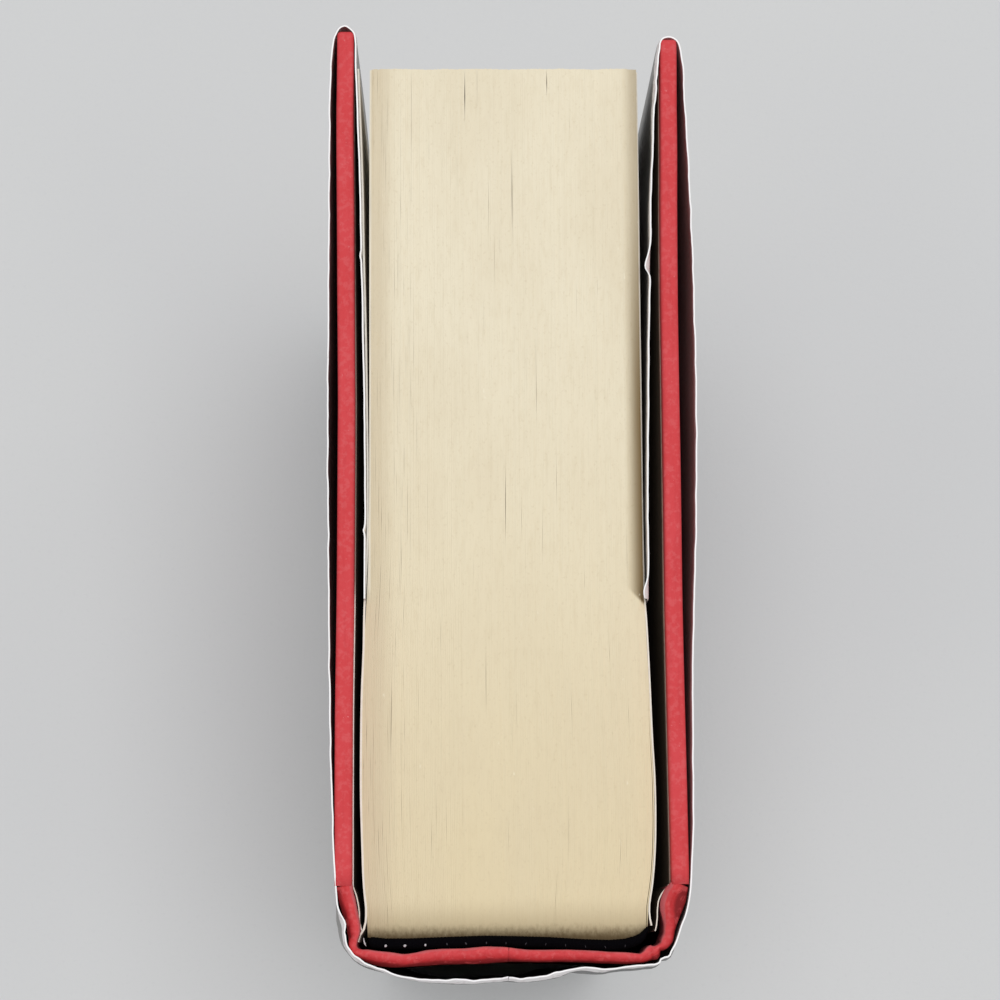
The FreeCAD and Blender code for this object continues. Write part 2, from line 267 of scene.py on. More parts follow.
# %% Red covering finish
def fold_painted_light(place):
    """Painted shade down the strip's outer side, a paler inner side that is partly dust and partly painted
    highlight, and painted highlights on its crumples; its flat map counts the way round the fold from the
    crest.
    """
    round_fold = parts_of(place)[1]
    bent = grain(place, (330, 700, 330), 4.0, 0.6)
    wobble = bent - 0.5
    # Painted shade down the outer side, paleness that is partly painted highlight down the inner side, and
    # painted highlights on the crumples.
    return [((round_fold + wobble * 0.0014).step(-0.0002, 0.0011) * 0.75, (176, 30, 34)),
            ((round_fold + wobble * 0.0008).step(0.0009, 0.0017) * 0.75, (96, 10, 14)),
            ((round_fold + wobble * 0.0006).step(-0.0002, -0.0007) * 0.75, (190, 98, 104)),
            (bent.step(0.55, 0.63) * 0.35, (228, 92, 94))]


def rubbed_edges(place):
    """Head and tail edges of the case, where the covering rubs on the shelf."""
    up = parts_of(place)[2]
    return up.step(0.2406, 0.2412) + up.step(0.0008, 0.0002)


def rubbed_crest(place):
    return abs(parts_of(place)[1]).step(0.0016, 0.0003)


def covering_finish(name, place_of, rubbed, painted_light_layers):
    paper = Finish(name)
    place = place_of(paper)
    fibre = grain(place, 900, 4.0, 0.6)
    weave = grain(place, 2600, 2.0)
    clouds = grain(place, 70)
    streaks = grain(place, (900, 60, 60))
    specks = grain(place, 1700, 1.0).step(0.74, 0.82)
    red = layered(
        mix(clouds.step(0.34, 0.68), ink(206, 64, 68), ink(209, 69, 74)),
        (fibre.step(0.42, 0.74) * 0.22, (213, 80, 84)),
        (streaks.step(0.50, 0.72) * 0.30, (184, 50, 55)),
        (weave.step(0.55, 0.78) * 0.20, (178, 48, 54)),
        *painted_light_layers(place),
        (rubbed(place) * 0.22 * grain(place, 1100).step(0.46, 0.66), (222, 118, 120)),
        (specks * 0.45, (226, 140, 142)))
    return skin(paper, red, 0.75, fibre * 0.7 + weave * 0.5 + clouds * 1.5, 0.00006,
                Specular_IOR_Level=0.25)


COVERING = covering_finish("red_covering", place_in_book, rubbed_edges, lambda place: [])
STRIP = covering_finish("red_covering_bent_painted_light", place_on_sheet, rubbed_crest, fold_painted_light)
print("finish:", COVERING.name, STRIP.name)

# %% [markdown]
# ## Endpaper, board, lining and thread
# The endpapers are off-white paper. The faces that look into the narrow gaps are painted dark brown as
# painted shade, and the head edges of the pasted halves carry painted shade too. Grey board is full of
# fibres, the lining is dark crepe, and the bands are black thread with a few pale turns. Each is a base
# colour with the variation that its fibres give.

# %% Plain paper, board and thread finishes
def fibre_finish(name, place_of, light, dark, size, depth, roughness, sheen=0.0, shine=0.25):
    stuff = Finish(name)
    place = place_of(stuff)
    fibre = grain(place, (size, size, size * 0.6), 4.0, 0.6)
    clouds = grain(place, 40)
    flecks = grain(place, size * 2.5, 1.0).step(0.68, 0.78)
    colour = mix(fibre.step(0.34, 0.72) * 0.7 + clouds * 0.3, ink(*light), ink(*dark))
    return skin(stuff, layered(colour, (flecks * 0.3, dark)), roughness, fibre + clouds, depth,
                Specular_IOR_Level=shine, Sheen_Weight=sheen)


def leaf_finish(name, light, dark):
    return fibre_finish(name, place_on_sheet, light, dark, 700, 0.00003, 0.85)


def thread_finish(name, light, dark, depth, roughness, sheen=0.0, shine=0.25):
    return fibre_finish(name, place_in_book, light, dark, 3000, depth, roughness, sheen, shine)


def back_edge_shade_finish():
    """Head edge of the back pastedown: white by the joint, with painted shade that greys it and then darkens
    it to maroon towards the fore-edge.
    """
    stuff = Finish("pastedown_edge")
    place = place_on_sheet(stuff)
    along = parts_of(place)[0]
    fibre = grain(place, 900, 4.0)
    colour = layered(
        # Painted shade: greyer, then dark maroon tinged with reflected red, towards the fore-edge.
        mix(along.step(0.0480, 0.0540), ink(240, 237, 230), ink(150, 138, 128)),
        (along.step(0.0900, 0.1150) * 0.9, (84, 46, 44)),
        (fibre.step(0.4, 0.7) * 0.3, (150, 140, 126)))
    return skin(stuff, colour, 0.85, fibre, Specular_IOR_Level=0.25)


WHITE_LEAF = leaf_finish("endpaper_white", (240, 234, 222), (228, 220, 206))
# Painted shade: a dark brown for the endpaper faces that look into the narrow gaps.
LEAF_PAINTED_SHADE = leaf_finish("endpaper_painted_shade", (126, 110, 92), (108, 94, 78))
# Painted shade: a dull pinkish grey for the front pastedown's head edge, deep in the gap by the red board.
FRONT_EDGE_PAINTED_SHADE = leaf_finish("pastedown_edge_front_painted_shade", (158, 136, 122), (128, 104, 94))
BACK_EDGE_PAINTED_SHADE = back_edge_shade_finish()
GREYBOARD = fibre_finish("greyboard", place_in_book, (158, 150, 138), (120, 112, 100), 900, 0.00012, 0.95)
CREPE = fibre_finish("lining_crepe", place_on_sheet, (52, 50, 52), (30, 29, 31), 600, 0.0002, 0.95)
BLACK_THREAD = thread_finish("black_thread", (9, 8, 11), (4, 3, 5), 0.00008, 0.95, shine=0.03)
DIM_THREAD = thread_finish("dim_thread", (74, 72, 76), (50, 48, 52), 0.00005, 0.9, shine=0.1)
PALE_THREAD = thread_finish("pale_thread", (214, 212, 214), (168, 166, 170), 0.00005, 0.8, sheen=0.2)
print("finish:", WHITE_LEAF.name, LEAF_PAINTED_SHADE.name, GREYBOARD.name, CREPE.name, BLACK_THREAD.name)

# %% [markdown]
# ## Jacket paper
# The jacket is one sheet, printed and varnished outside and white inside; the inside is painted grey
# below its top few millimetres, a painted shade. The print is a plain mid grey, darker on the spine, with a
# dark red band and two pale rules, and no words or pictures. Where the sheet is handled, at its head and
# tail edges, at the spine's corners and at the fore-edge folds, the ink has cracked and the white of the
# paper shows through.

# %% Jacket finishes
HEAD, TAIL = 0.2413, 0.0001
SPINE_CORNER, FORE_FOLD = 0.0270, 0.1975
BAND, LOW_RULE, HIGH_RULE = (0.0300, 0.0760), (0.0262, 0.0270), (0.0790, 0.0798)


def printed_finish():
    paper = Finish("jacket_print")
    place = place_on_sheet(paper)
    along, up, _ = parts_of(place)
    fibre = grain(place, 1400)
    crack = grain(place, (500, 2200, 500), 4.0, 0.65)
    ragged = grain(place, 420) - 0.5
    rules = between(up, *LOW_RULE, 0.0001) + between(up, *HIGH_RULE, 0.0001)
    on_spine = along.step(SPINE_CORNER + 0.0020, SPINE_CORNER + 0.0005)
    print_colour = layered(
        mix(grain(place, 25).step(0.35, 0.70), ink(131, 129, 125), ink(138, 136, 132)),
        (on_spine, (62, 61, 60)),
        (between(up, *BAND, 0.0003), (120, 34, 42)),
        (rules * 0.9, (206, 200, 186)))
    head_edge = (up + ragged * 0.0028).step(HEAD - 0.0020, HEAD - 0.0015)
    tail_edge = (up + ragged * 0.0016).step(TAIL + 0.0010, TAIL + 0.0006)
    folds = abs(along - SPINE_CORNER).step(0.0022, 0.0002) + abs(along - FORE_FOLD).step(0.0030, 0.0004)
    cracked = (folds * 0.55 + crack * 0.5 - 0.25).step(0.48, 0.75)
    worn = (head_edge + tail_edge).most(cracked).least(1.0)
    bare = mix(grain(place, 700).step(0.45, 0.72), ink(240, 236, 236), ink(214, 204, 204))
    return skin(paper, mix(worn, print_colour, bare), 0.36 + fibre * 0.12 + worn * 0.4,
                fibre + crack * worn * 2.0, Specular_IOR_Level=0.45)


def white_finish(name, soiled, light, dark, by_the_head):
    paper = Finish(name)
    place = place_on_sheet(paper)
    fibre = grain(place, 1600)
    spots = grain(place, 420, 3.0, 0.6).step(0.60, 0.78)
    colour = layered(
        mix(fibre.step(0.35, 0.75), ink(*light), ink(*dark)),
        (parts_of(place)[1].step(HEAD - 0.0060, HEAD - 0.0020), by_the_head),
        (spots * soiled, (190, 182, 178)))
    return skin(paper, colour, 0.8, fibre, Specular_IOR_Level=0.3)


PRINTED = printed_finish()
# Painted shade: the inside is grey below the head, and only its top few millimetres keep the paper's white.
JACKET_INSIDE_PAINTED_SHADE = white_finish("jacket_inside_painted_shade", 0.15, (196, 190, 187), (182, 176, 172), (244, 241, 238))
JACKET_EDGE = white_finish("jacket_edge", 0.40, (250, 248, 248), (240, 236, 236), (250, 248, 248))
print("finish:", PRINTED.name, JACKET_INSIDE_PAINTED_SHADE.name, JACKET_EDGE.name)

# %% [markdown]
# ## Lines in plan
# Seen from above, every paper of a standing book is a line. A few listed points say where it
# goes, and a curve through them with a vertex every millimetre or so gives the sheet its smooth run.
# Real paper never lies quite flat: `wander` is a slow, repeatable wave for that.

# %% Plan lines
def follow(points, spacing):
    """A smooth line through rows of numbers whose first two are a plan place, in millimetres."""
    points = np.array(points, float) * MM
    steps = np.linalg.norm(np.diff(points[:, :2], axis=0), axis=1)
    at = np.concatenate([[0.0], np.cumsum(steps)])
    slopes = np.gradient(points, at, axis=0)
    wanted = np.linspace(0.0, at[-1], max(3, round(at[-1] / (spacing * MM))) + 1)
    leg = np.clip(np.searchsorted(at, wanted, side="right") - 1, 0, len(steps) - 1)
    reach = steps[leg][:, None]
    t = (wanted - at[leg])[:, None] / reach
    return ((2 * t**3 - 3 * t**2 + 1) * points[leg] + (t**3 - 2 * t**2 + t) * reach * slopes[leg]
            + (3 * t**2 - 2 * t**3) * points[leg + 1] + (t**3 - t**2) * reach * slopes[leg + 1])


def run_of(line):
    """Distance along a line at each of its points."""
    return np.concatenate([[0.0], np.cumsum(np.linalg.norm(np.diff(line[:, :2], axis=0), axis=1))])


def right_of(line):
    """The level direction to the right of the way the line goes."""
    way = np.gradient(line[:, :2], axis=0)
    way /= np.linalg.norm(way, axis=1)[:, None]
    return np.stack([way[:, 1], -way[:, 0]], axis=1)


def wander(distance, longest, seed):
    """A slow wave between about -1 and 1, whose longest swing is given in the same unit."""
    draw = np.random.RandomState(seed)
    total = np.zeros_like(distance)
    for size, share in ((1.0, 0.5), (0.53, 0.3), (0.29, 0.2)):
        total = total + share * np.sin(2 * np.pi * distance / (longest * size) + draw.uniform(0, 6.28))
    return total


def hump(value, middle, width):
    """1 at the middle, fading to 0 over about two widths either side."""
    return np.exp(-((value - middle) / width) ** 2)


def rise(value, low, high):
    """The same smooth step as a finish's step, for numbers."""
    t = np.clip((value - low) / (high - low), 0.0, 1.0)
    return t * t * (3 - 2 * t)


print("a line of", len(follow([(0, 0), (10, 0)], 1.0)), "points")

# %% [markdown]
# ## From grids to pieces
# A sheet of paper is two grids of points, its two faces, closed round the rim. These helpers turn grids
# into faces and faces into a piece, so every paper has a real thickness, with its own finish on each face
# and on its cut edge, and a flat map to read them from.

# %% Mesh helpers
def put_in_scene(name, mesh, finishes, smooth_below):
    """Give a mesh its finishes and soft shading, and make it a piece."""
    for finish in finishes:
        mesh.materials.append(finish)
    mesh.shade_smooth()
    mesh.set_sharp_from_angle(angle=math.radians(smooth_below))
    piece = bpy.data.objects.new(name, mesh)
    bpy.context.scene.collection.objects.link(piece)
    return piece


def new_piece(name, points, faces, finishes, finish_of=None, smooth_below=40):
    mesh = bpy.data.meshes.new(name)
    mesh.from_pydata([tuple(p) for p in points], [], [tuple(f) for f in faces])
    piece = put_in_scene(name, mesh, finishes, smooth_below)
    if finish_of is not None:
        mesh.polygons.foreach_set("material_index", np.array(finish_of, np.int32))
    mesh.update()
    return piece


def flat_map(piece, along, up):
    """Store where each vertex lies on the flat sheet, in metres."""
    layer = piece.data.uv_layers.new(name="flat")
    corners = np.zeros(len(piece.data.loops), np.int32)
    piece.data.loops.foreach_get("vertex_index", corners)
    places = np.stack([along[corners], up[corners]], axis=1)
    layer.data.foreach_set("uv", places.astype(np.float32).ravel())


def turned(faces, flip):
    """The same faces, seen from the other side if flip is true."""
    return [face[::-1] for face in faces] if flip else faces


def grid_faces(rows, columns, first, flip):
    """Four-cornered faces over a grid of points."""
    corners = [first + i * columns + j for i in range(rows - 1) for j in range(columns - 1)]
    return turned([(a, a + columns, a + columns + 1, a + 1) for a in corners], flip)


def rim_faces(rows, columns, second, flip):
    """Faces that close the gap between two equal grids, right round."""
    ring = [i * columns for i in range(rows)]
    ring += [(rows - 1) * columns + j for j in range(1, columns)]
    ring += [i * columns + columns - 1 for i in range(rows - 2, -1, -1)]
    ring += [j for j in range(columns - 2, 0, -1)]
    return turned([(a, a + second, b + second, b) for a, b in zip(ring, ring[1:] + ring[:1])], flip)


print("a grid of 3 by 3 points has", len(grid_faces(3, 3, 0, False)), "faces")

# %% [markdown]
# ## Standing sheets
# Most papers here stand on their tail edge. `standing_paper` pulls a plan line up into a sheet: a sway
# moves it in and out, a lift moves its head edge up and down, and the rows are closest near head and
# tail, where the edges show. Pieces cut from a box have one skin, and `thicken` turns it into paper.

# %% Sheets of paper
def closed_sheet(name, outer, inner, along, up, finishes, flip):
    """A sheet between two grids of points. Finishes: outer face, inner face, cut edge."""
    rows, columns = outer.shape[:2]
    count = rows * columns
    faces = grid_faces(rows, columns, 0, flip) + grid_faces(rows, columns, count, not flip)
    rim = rim_faces(rows, columns, count, flip)
    face_count = (rows - 1) * (columns - 1)
    finish_of = [0] * face_count + [1] * face_count + [2] * len(rim)
    points = np.concatenate([outer.reshape(-1, 3), inner.reshape(-1, 3)])
    piece = new_piece(name, points, faces + rim, finishes, finish_of)
    flat_map(piece, np.tile(along.ravel(), 2), np.tile(up.ravel(), 2))
    return piece


def levels(foot, head, coarse):
    """Heights from foot to head, close together near both ends."""
    near = np.array([0.0, 0.3, 0.7, 1.2, 1.9, 3.0, 5.0, 8.0, 12.0]) * MM
    middle = np.linspace(foot + near[-1], head - near[-1], coarse)
    return np.concatenate([foot + near[:-1], middle, head - near[:-1][::-1]])


def standing_paper(name, line, thickness, heights, sway, finishes, hand=1, lift=None):
    """A sheet that stands on its edge along a plan line; hand says which side its outer face is on."""
    out = right_of(line) * hand
    along, up = np.meshgrid(run_of(line), heights, indexing="ij")
    push = sway(along, up)
    raised = up if lift is None else up + lift(along, up)
    outer = np.stack([line[:, None, 0] + out[:, None, 0] * push,
                      line[:, None, 1] + out[:, None, 1] * push, raised], axis=2)
    inner = outer.copy()
    inner[:, :, :2] -= out[:, None, :] * thickness
    return closed_sheet(name, outer, inner, along, up, finishes, hand < 0)


def thicken(piece, thickness):
    """Grow a skin inwards into paper, and keep the result as the piece's mesh."""
    paper = piece.modifiers.new("thickness", "SOLIDIFY")
    paper.thickness = thickness
    paper.offset = -1.0
    bpy.context.view_layer.update()
    shaped = piece.evaluated_get(bpy.context.evaluated_depsgraph_get())
    mesh = bpy.data.meshes.new_from_object(shaped)
    piece.modifiers.clear()
    piece.data = mesh


print("heights up a page:", len(levels(0.0, 0.235, 16)))

# %% [markdown]
# ## The pages
# The block is built as a binder has it, from thin gatherings of leaves laid side by side, each a little
# higher or shorter than the next. The guillotine leaves the head almost level, so the differences are
# hundredths of a millimetre, but the thin gaps between gatherings give the lines their depth. Past the
# ends of the flaps the leaves are free and swell a little. Beside a flap they are pressed down, and at
# the spine the head rounds off.

# %% Plan of the page block
block_low, block_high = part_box("text_block")
PAGE_HEAD, PAGE_TAIL = block_high.z, block_low.z
# The block in plan, in millimetres: its two sides read along its length, its spine read across.
SIDES_AT = [-78, -74.3, -73.1, -72.2, -70.7, -69, -66.5, -62.6, -57.4, -50.5, -43.6, -33.1, -24, -19, -12,
    2, 20, 40, 60, 78]
BACK_SIDE = [-25.1, -25.2, -25.25, -25.28, -25.4, -25.55, -25.72, -25.92, -26.1, -26.18, -26.2, -26.02,
    -25.7, -25.42, -25.13, -25.02, -25.02, -25.06, -25.1, -25.05]
FRONT_SIDE = [22.95, 23.05, 23.08, 23.12, 23.33, 23.62, 23.95, 24.26, 24.44, 24.4, 24.1, 23.78, 23.42,
    23.18, 23.1, 23.09, 23.08, 23.06, 23.12, 23.1]
SPINE_ACROSS = [-25.6, -24.5, -22, -18, -12, -5, 0, 6, 12, 16.4, 19, 20.7, 21.7, 22.4, 23]
SPINE_SIDE = [-77, -77.3, -77.6, -77.6, -77.4, -77.2, -77.3, -77.5, -77.9, -78.05, -77.85, -77.4, -76.9,
    -76.2, -75.5]
# Slits that stand open in the head: how far across (0 to 1), middle along the sheet, length, width.
SLITS = [(0.356, 0.0728, 0.0027, 0.00015), (0.665, 0.0755, 0.001, 0.00012),
    (0.222, 0.0634, 0.0008, 0.00014), (0.529, 0.0544, 0.005, 0.0001), (0.497, -0.0017, 0.0045, 0.00008),
    (0.612, 0.018, 0.003, 0.00005), (0.43, -0.033, 0.004, 0.00005), (0.1, -0.04, 0.005, 0.00008)]


def spine_side(x):
    """Where the pages end towards the spine, at a place across the block."""
    return np.interp(x / MM, SPINE_ACROSS, SPINE_SIDE) * MM


print("pages reach the spine at", round(float(spine_side(0.0)) / MM, 1), "mm")

# %% Page block
GATHERINGS, STATIONS = 158, 76
# Where the block begins at the back and how thick it is, in millimetres.
BACK_X, PAGES_ACROSS = -25.1, 48.1
FORE_EDGE = 0.07773
HEAD_CLEAR = 0.00006


def pressed_down(x, y):
    """How far the head is pressed down beside the front flap, and at the back fore-edge corner."""
    beside_flap = rise(y + x, 0.0030, 0.0042) * (0.45 + 0.55 * rise(-y, -0.060, -0.012))
    back_corner = rise(-x, 0.0242, 0.0251) * rise(y, 0.045, 0.070)
    return 0.0011 * rise(x, 0.0200, 0.0234) * beside_flap + 0.0006 * back_corner


def gathering(spine_end, fore_end, sheet_shares, openings, height):
    """Four corners of the section at each station: tail and head, on both sides."""
    y = spine_end + (fore_end - spine_end) * np.linspace(0, 1, STATIONS) ** 1.25
    back = np.interp(y / MM, SIDES_AT, BACK_SIDE) * MM
    front = np.interp(y / MM, SIDES_AT, FRONT_SIDE) * MM
    near, far = (back + (front - back) * share + opening(y) for share, opening in zip(sheet_shares, openings))
    dip = 0.00085 * np.exp(-(y - spine_end) / 0.0013)
    top = PAGE_HEAD - HEAD_CLEAR + height - dip - pressed_down((near + far) / 2, y)
    bottom = PAGE_TAIL + HEAD_CLEAR - height + dip * 0.5
    return np.stack([np.stack([x, y, z], axis=1) for x, z in
                     ((near, bottom), (far, bottom), (far, top), (near, top))], axis=1)


def page_block():
    draw = np.random.RandomState(11)
    shares = np.cumsum(np.concatenate([[0.0], draw.uniform(0.75, 1.25, GATHERINGS)]))
    shares /= shares[-1]
    count = np.arange(GATHERINGS) * 1.0
    heights = wander(count, 34.0, 3) * 0.00003 + draw.uniform(-0.00002, 0.00002, GATHERINGS)
    reaches = wander(count, 47.0, 4) * 0.00010 + draw.uniform(-0.00006, 0.00006, GATHERINGS)
    gaps = draw.uniform(0.000002, 0.000008, GATHERINGS + 1)
    bursts = [[(draw.uniform(-0.074, 0.076), draw.uniform(0.0008, 0.0040), draw.uniform(0.00001, 0.00003))
               for _ in range(4 if edge < 28 else edge % 3 // 2)] for edge in range(GATHERINGS + 1)]
    for across, *slit in SLITS:
        bursts[np.argmin(abs(shares - across))].append(slit)

    def opening_at(edge, inward):
        def opening(y):
            width = gaps[edge] + sum(wide * hump(y, where, length) for where, length, wide in bursts[edge])
            loose = 0.00005 * rise(-y, 0.030, 0.060) * (edge == GATHERINGS - 1)
            return inward * (width / 2 + loose)
        return opening

    points, faces = [], []
    for k in range(GATHERINGS):
        middle = (shares[k] + shares[k + 1]) / 2
        spine_end = float(spine_side((BACK_X + middle * PAGES_ACROSS) * MM)) + draw.uniform(-0.0001, 0.0001)
        first, last = len(points), len(points) + 4 * (STATIONS - 1)
        points.extend(gathering(spine_end, FORE_EDGE + reaches[k], shares[k:k + 2],
                                (opening_at(k, 1), opening_at(k + 1, -1)), heights[k]).reshape(-1, 3))
        faces.append((first, first + 1, first + 2, first + 3))
        faces.append((last + 3, last + 2, last + 1, last))
        faces += [(a + c, a + 4 + c, a + 4 + (c + 1) % 4, a + (c + 1) % 4)
                  for a in range(first, last, 4) for c in range(4)]
    return new_piece("page_block", points, faces, [PAGES], smooth_below=25)


pages = page_block()
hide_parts("text_block")
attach(pages, "book_block")
print("page block:", len(pages.data.vertices), "points")

# %% [markdown]
# ## Free endpapers
# The free leaf at each side is heavier and whiter than the pages. The front one lies on the block, with
# its head bent down under the flap. The back one leans away from the pages towards the fore-edge, where
# it follows the flap.

# %% Flyleaves
LEAF_LINES = {
    "front": [(23.8, -75.4), (23.56, -74.3), (23.44, -73.1), (23.46, -72.2), (23.66, -70.7), (23.95, -69),
        (24.26, -66.5), (24.58, -62.6), (24.76, -57.4), (24.72, -50.5), (24.42, -43.6), (24.1, -33.1),
        (23.75, -24), (23.5, -19), (23.42, -12), (23.4, 20), (23.42, 77.8)],
    "back": [(-26.95, -77.9), (-26.7, -77), (-26.4, -76.4), (-26, -75.85), (-25.72, -75.1), (-25.6, -74.2),
        (-25.56, -73.2), (-25.6, -71.7), (-25.72, -70.8), (-26.02, -67.4), (-26.22, -62.5),
        (-26.48, -53.7), (-26.52, -45.1), (-26.4, -35), (-26.12, -27.7), (-25.98, -20.5), (-25.74, -15.5),
        (-25.48, -9), (-25.44, -1), (-25.64, 16.8), (-26.02, 35), (-26.26, 44.1), (-26.42, 53.4),
        (-26.72, 62.6), (-27.08, 72), (-27.33, 77.8)],
}


def leaf_sway(along, up):
    return 0.00002 * wander(along, 0.06, 21) + 0.00004 * wander(up, 0.19, 22)


def front_leaf_dip(along, up):
    """Under the flap the front leaf's head is bent down with the pages beside it."""
    return -0.0022 * rise(along, 0.0530, 0.0600) * rise(up, 0.2200, 0.2380)


for side, hand, thickness, dip in (("front", 1, 0.00028, front_leaf_dip), ("back", -1, 0.00034, None)):
    leaf = standing_paper(f"{side}_leaf", follow(LEAF_LINES[side], 1.2), thickness,
                          levels(PAGE_TAIL, PAGE_HEAD, 16), leaf_sway,
                          [LEAF_PAINTED_SHADE, WHITE_LEAF, WHITE_LEAF], hand, dip)
    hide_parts(f"{side}_flyleaf")
    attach(leaf, "book_block")
    print(leaf.name, len(leaf.data.vertices), "points")

# %% [markdown]
# ## Covered boards
# Each board is wrapped in red paper that is drawn tight over three edges and turned in. A box with its
# wrapped edges bevelled gives the soft arris, cuts across it make room for small waves, and the face
# towards the pages is opened where the pastedown shows. Solidify gives the paper its real thickness. The
# board inside is a softened box of its own, the pastedown is a thin sheet, and all three bow together.

# %% Boxes that can be cut and softened
def box_form(low, high):
    form = bmesh.new()
    bmesh.ops.create_cube(form, size=1.0)
    for v in form.verts:
        v.co = Vector([low[i] + (v.co[i] + 0.5) * (high[i] - low[i]) for i in range(3)])
    return form


def soften(form, edges, radius, segments):
    bmesh.ops.bevel(form, geom=edges, offset=radius, segments=segments, profile=0.5, affect="EDGES")


def cut_across(form, cuts):
    """Cut a form with upright or level planes, given as (axis, place)."""
    for axis, where in cuts:
        spot, normal = Vector((0, 0, 0)), Vector((0, 0, 0))
        spot[axis], normal[axis] = where, 1.0
        bmesh.ops.bisect_plane(form, geom=form.verts[:] + form.edges[:] + form.faces[:], dist=1e-7,
                               plane_co=spot, plane_no=normal)


def form_to_piece(form, name, finish, smooth_below):
    mesh = bpy.data.meshes.new(name)
    form.to_mesh(mesh)
    form.free()
    return put_in_scene(name, mesh, [finish], smooth_below)


# Boards bow a little towards the pages: places along them, and how far to the front they move there, in mm.
BOW_AT = [-68.5, -64, -54, -37, -19, 0, 16, 34, 52, 62, 70, 76, 82.5]
BOWS = {
    "front": [0.03, 0.04, -0.04, -0.2, -0.32, -0.26, -0.26, -0.27, -0.1, 0.08, 0.13, 0.22, 0.27],
    "back": [0.06, 0.06, 0.03, 0.05, 0.26, 0.33, 0.36, 0.18, 0.03, -0.1, -0.13, -0.05, -0.03],
}


def bow(side, y):
    return np.interp(y / MM, BOW_AT, BOWS[side]) * MM


print("the front board bows by", min(BOWS["front"]), "mm")

# %% Coverings of the boards
COVERING_THICK, ARRIS, TURN_IN = 0.0003, 0.0007, 0.015
TOUCH = 1e-6


def board_covering(side, seed):
    low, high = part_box(f"{side}_cover_paper")
    window_low, window_high, window_reach = low.z + TURN_IN, high.z - TURN_IN, high.y - TURN_IN
    form = box_form(low, high)
    soften(form, [e for e in form.edges if max(v.co.y for v in e.verts) > high.y - TOUCH], ARRIS, 5)
    cuts = [(1, y) for y in np.arange(low.y + 0.003, high.y - 0.002, 0.0045)] + [(1, window_reach)]
    cuts += [(2, z) for z in np.arange(low.z + 0.006, high.z - 0.003, 0.0075)]
    cut_across(form, cuts + [(2, window_low), (2, window_high), (0, (low.x + high.x) / 2)])

    def unseen(face):
        """Whether the face is the open joint edge, or lies in the window on the inner side."""
        middle = face.calc_center_median()
        across = [v.co.x for v in face.verts]
        inner = max(across) < low.x + TOUCH if side == "front" else min(across) > high.x - TOUCH
        return middle.y < low.y + TOUCH or (inner and middle.y < window_reach
                                            and window_low < middle.z < window_high)

    bmesh.ops.delete(form, geom=[f for f in form.faces if unseen(f)], context="FACES")
    form.normal_update()
    along = np.array([v.co.y for v in form.verts])
    up = np.array([v.co.z for v in form.verts])
    push = 0.00003 * (1 + wander(along, 0.05, seed)) / 2 * rise(up, 0.001, 0.006)
    push += 0.00025 * rise(along, high.y - 0.0005, high.y - 0.0001) * (side == "front")
    for v, amount in zip(form.verts, push):
        if v.co.y > low.y + TOUCH:
            v.co += v.normal * max(0.0, amount)
        v.co.x += bow(side, v.co.y)
    piece = form_to_piece(form, f"{side}_covering", COVERING, 45)
    thicken(piece, COVERING_THICK)
    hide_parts(f"{side}_cover_paper")
    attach(piece, f"{side}_cover")
    return piece


print("paper on the boards:", COVERING_THICK / MM, "mm")

# %% Boards and pastedowns
def board_core(side):
    """The stiff board itself, a hair smaller than its covering and bowed with it."""
    low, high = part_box(f"{side}_board")
    spare = Vector((0.00012, 0.00012, 0.00012))
    form = box_form(low + spare, high - spare)
    soften(form, form.edges[:], 0.0005, 3)
    cut_across(form, [(1, y) for y in np.arange(low.y + 0.004, high.y - 0.003, 0.006)])
    for v in form.verts:
        v.co.x += bow(side, v.co.y)
    piece = form_to_piece(form, f"{side}_core", GREYBOARD, 50)
    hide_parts(f"{side}_board")
    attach(piece, f"{side}_cover")


def pasted_sway(along, up):
    """Small waves, none at the head and tail edges."""
    return 0.00001 * wander(up, 0.08, 25) * rise(0.1175 - abs(up - 0.1207), 0, 0.01)


def pastedown(side, hand, edge_finish):
    """The glued half of the endpaper, bowed with its board."""
    low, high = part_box(f"{side}_pastedown")
    face = low.x if side == "front" else high.x
    y = np.linspace(low.y, high.y, 50)
    line = np.stack([face + bow(side, y), y], axis=1)
    piece = standing_paper(f"{side}_pasted_leaf", line, 0.00019, levels(low.z, high.z, 16), pasted_sway,
                           [LEAF_PAINTED_SHADE, WHITE_LEAF, edge_finish], hand)
    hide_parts(f"{side}_pastedown")
    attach(piece, f"{side}_cover")


for side, hand, seed, edge_finish in (("front", -1, 31, FRONT_EDGE_PAINTED_SHADE), ("back", 1, 41, BACK_EDGE_PAINTED_SHADE)):
    print(board_covering(side, seed).name, "wraps", f"{side}_board")
    board_core(side)
    pastedown(side, hand, edge_finish)

# %% [markdown]
# ## Spine and joints of the case
# The same red paper runs over the spine and across both joints, folded double at head and tail. From
# above it is a soft tube: outer ply, fold, and inner ply that ends a little way down. Its section is
# swept along the middle of the band, in two halves, one to each side. Two slow waves crumple its crest,
# and the creases are pressed in one by one.

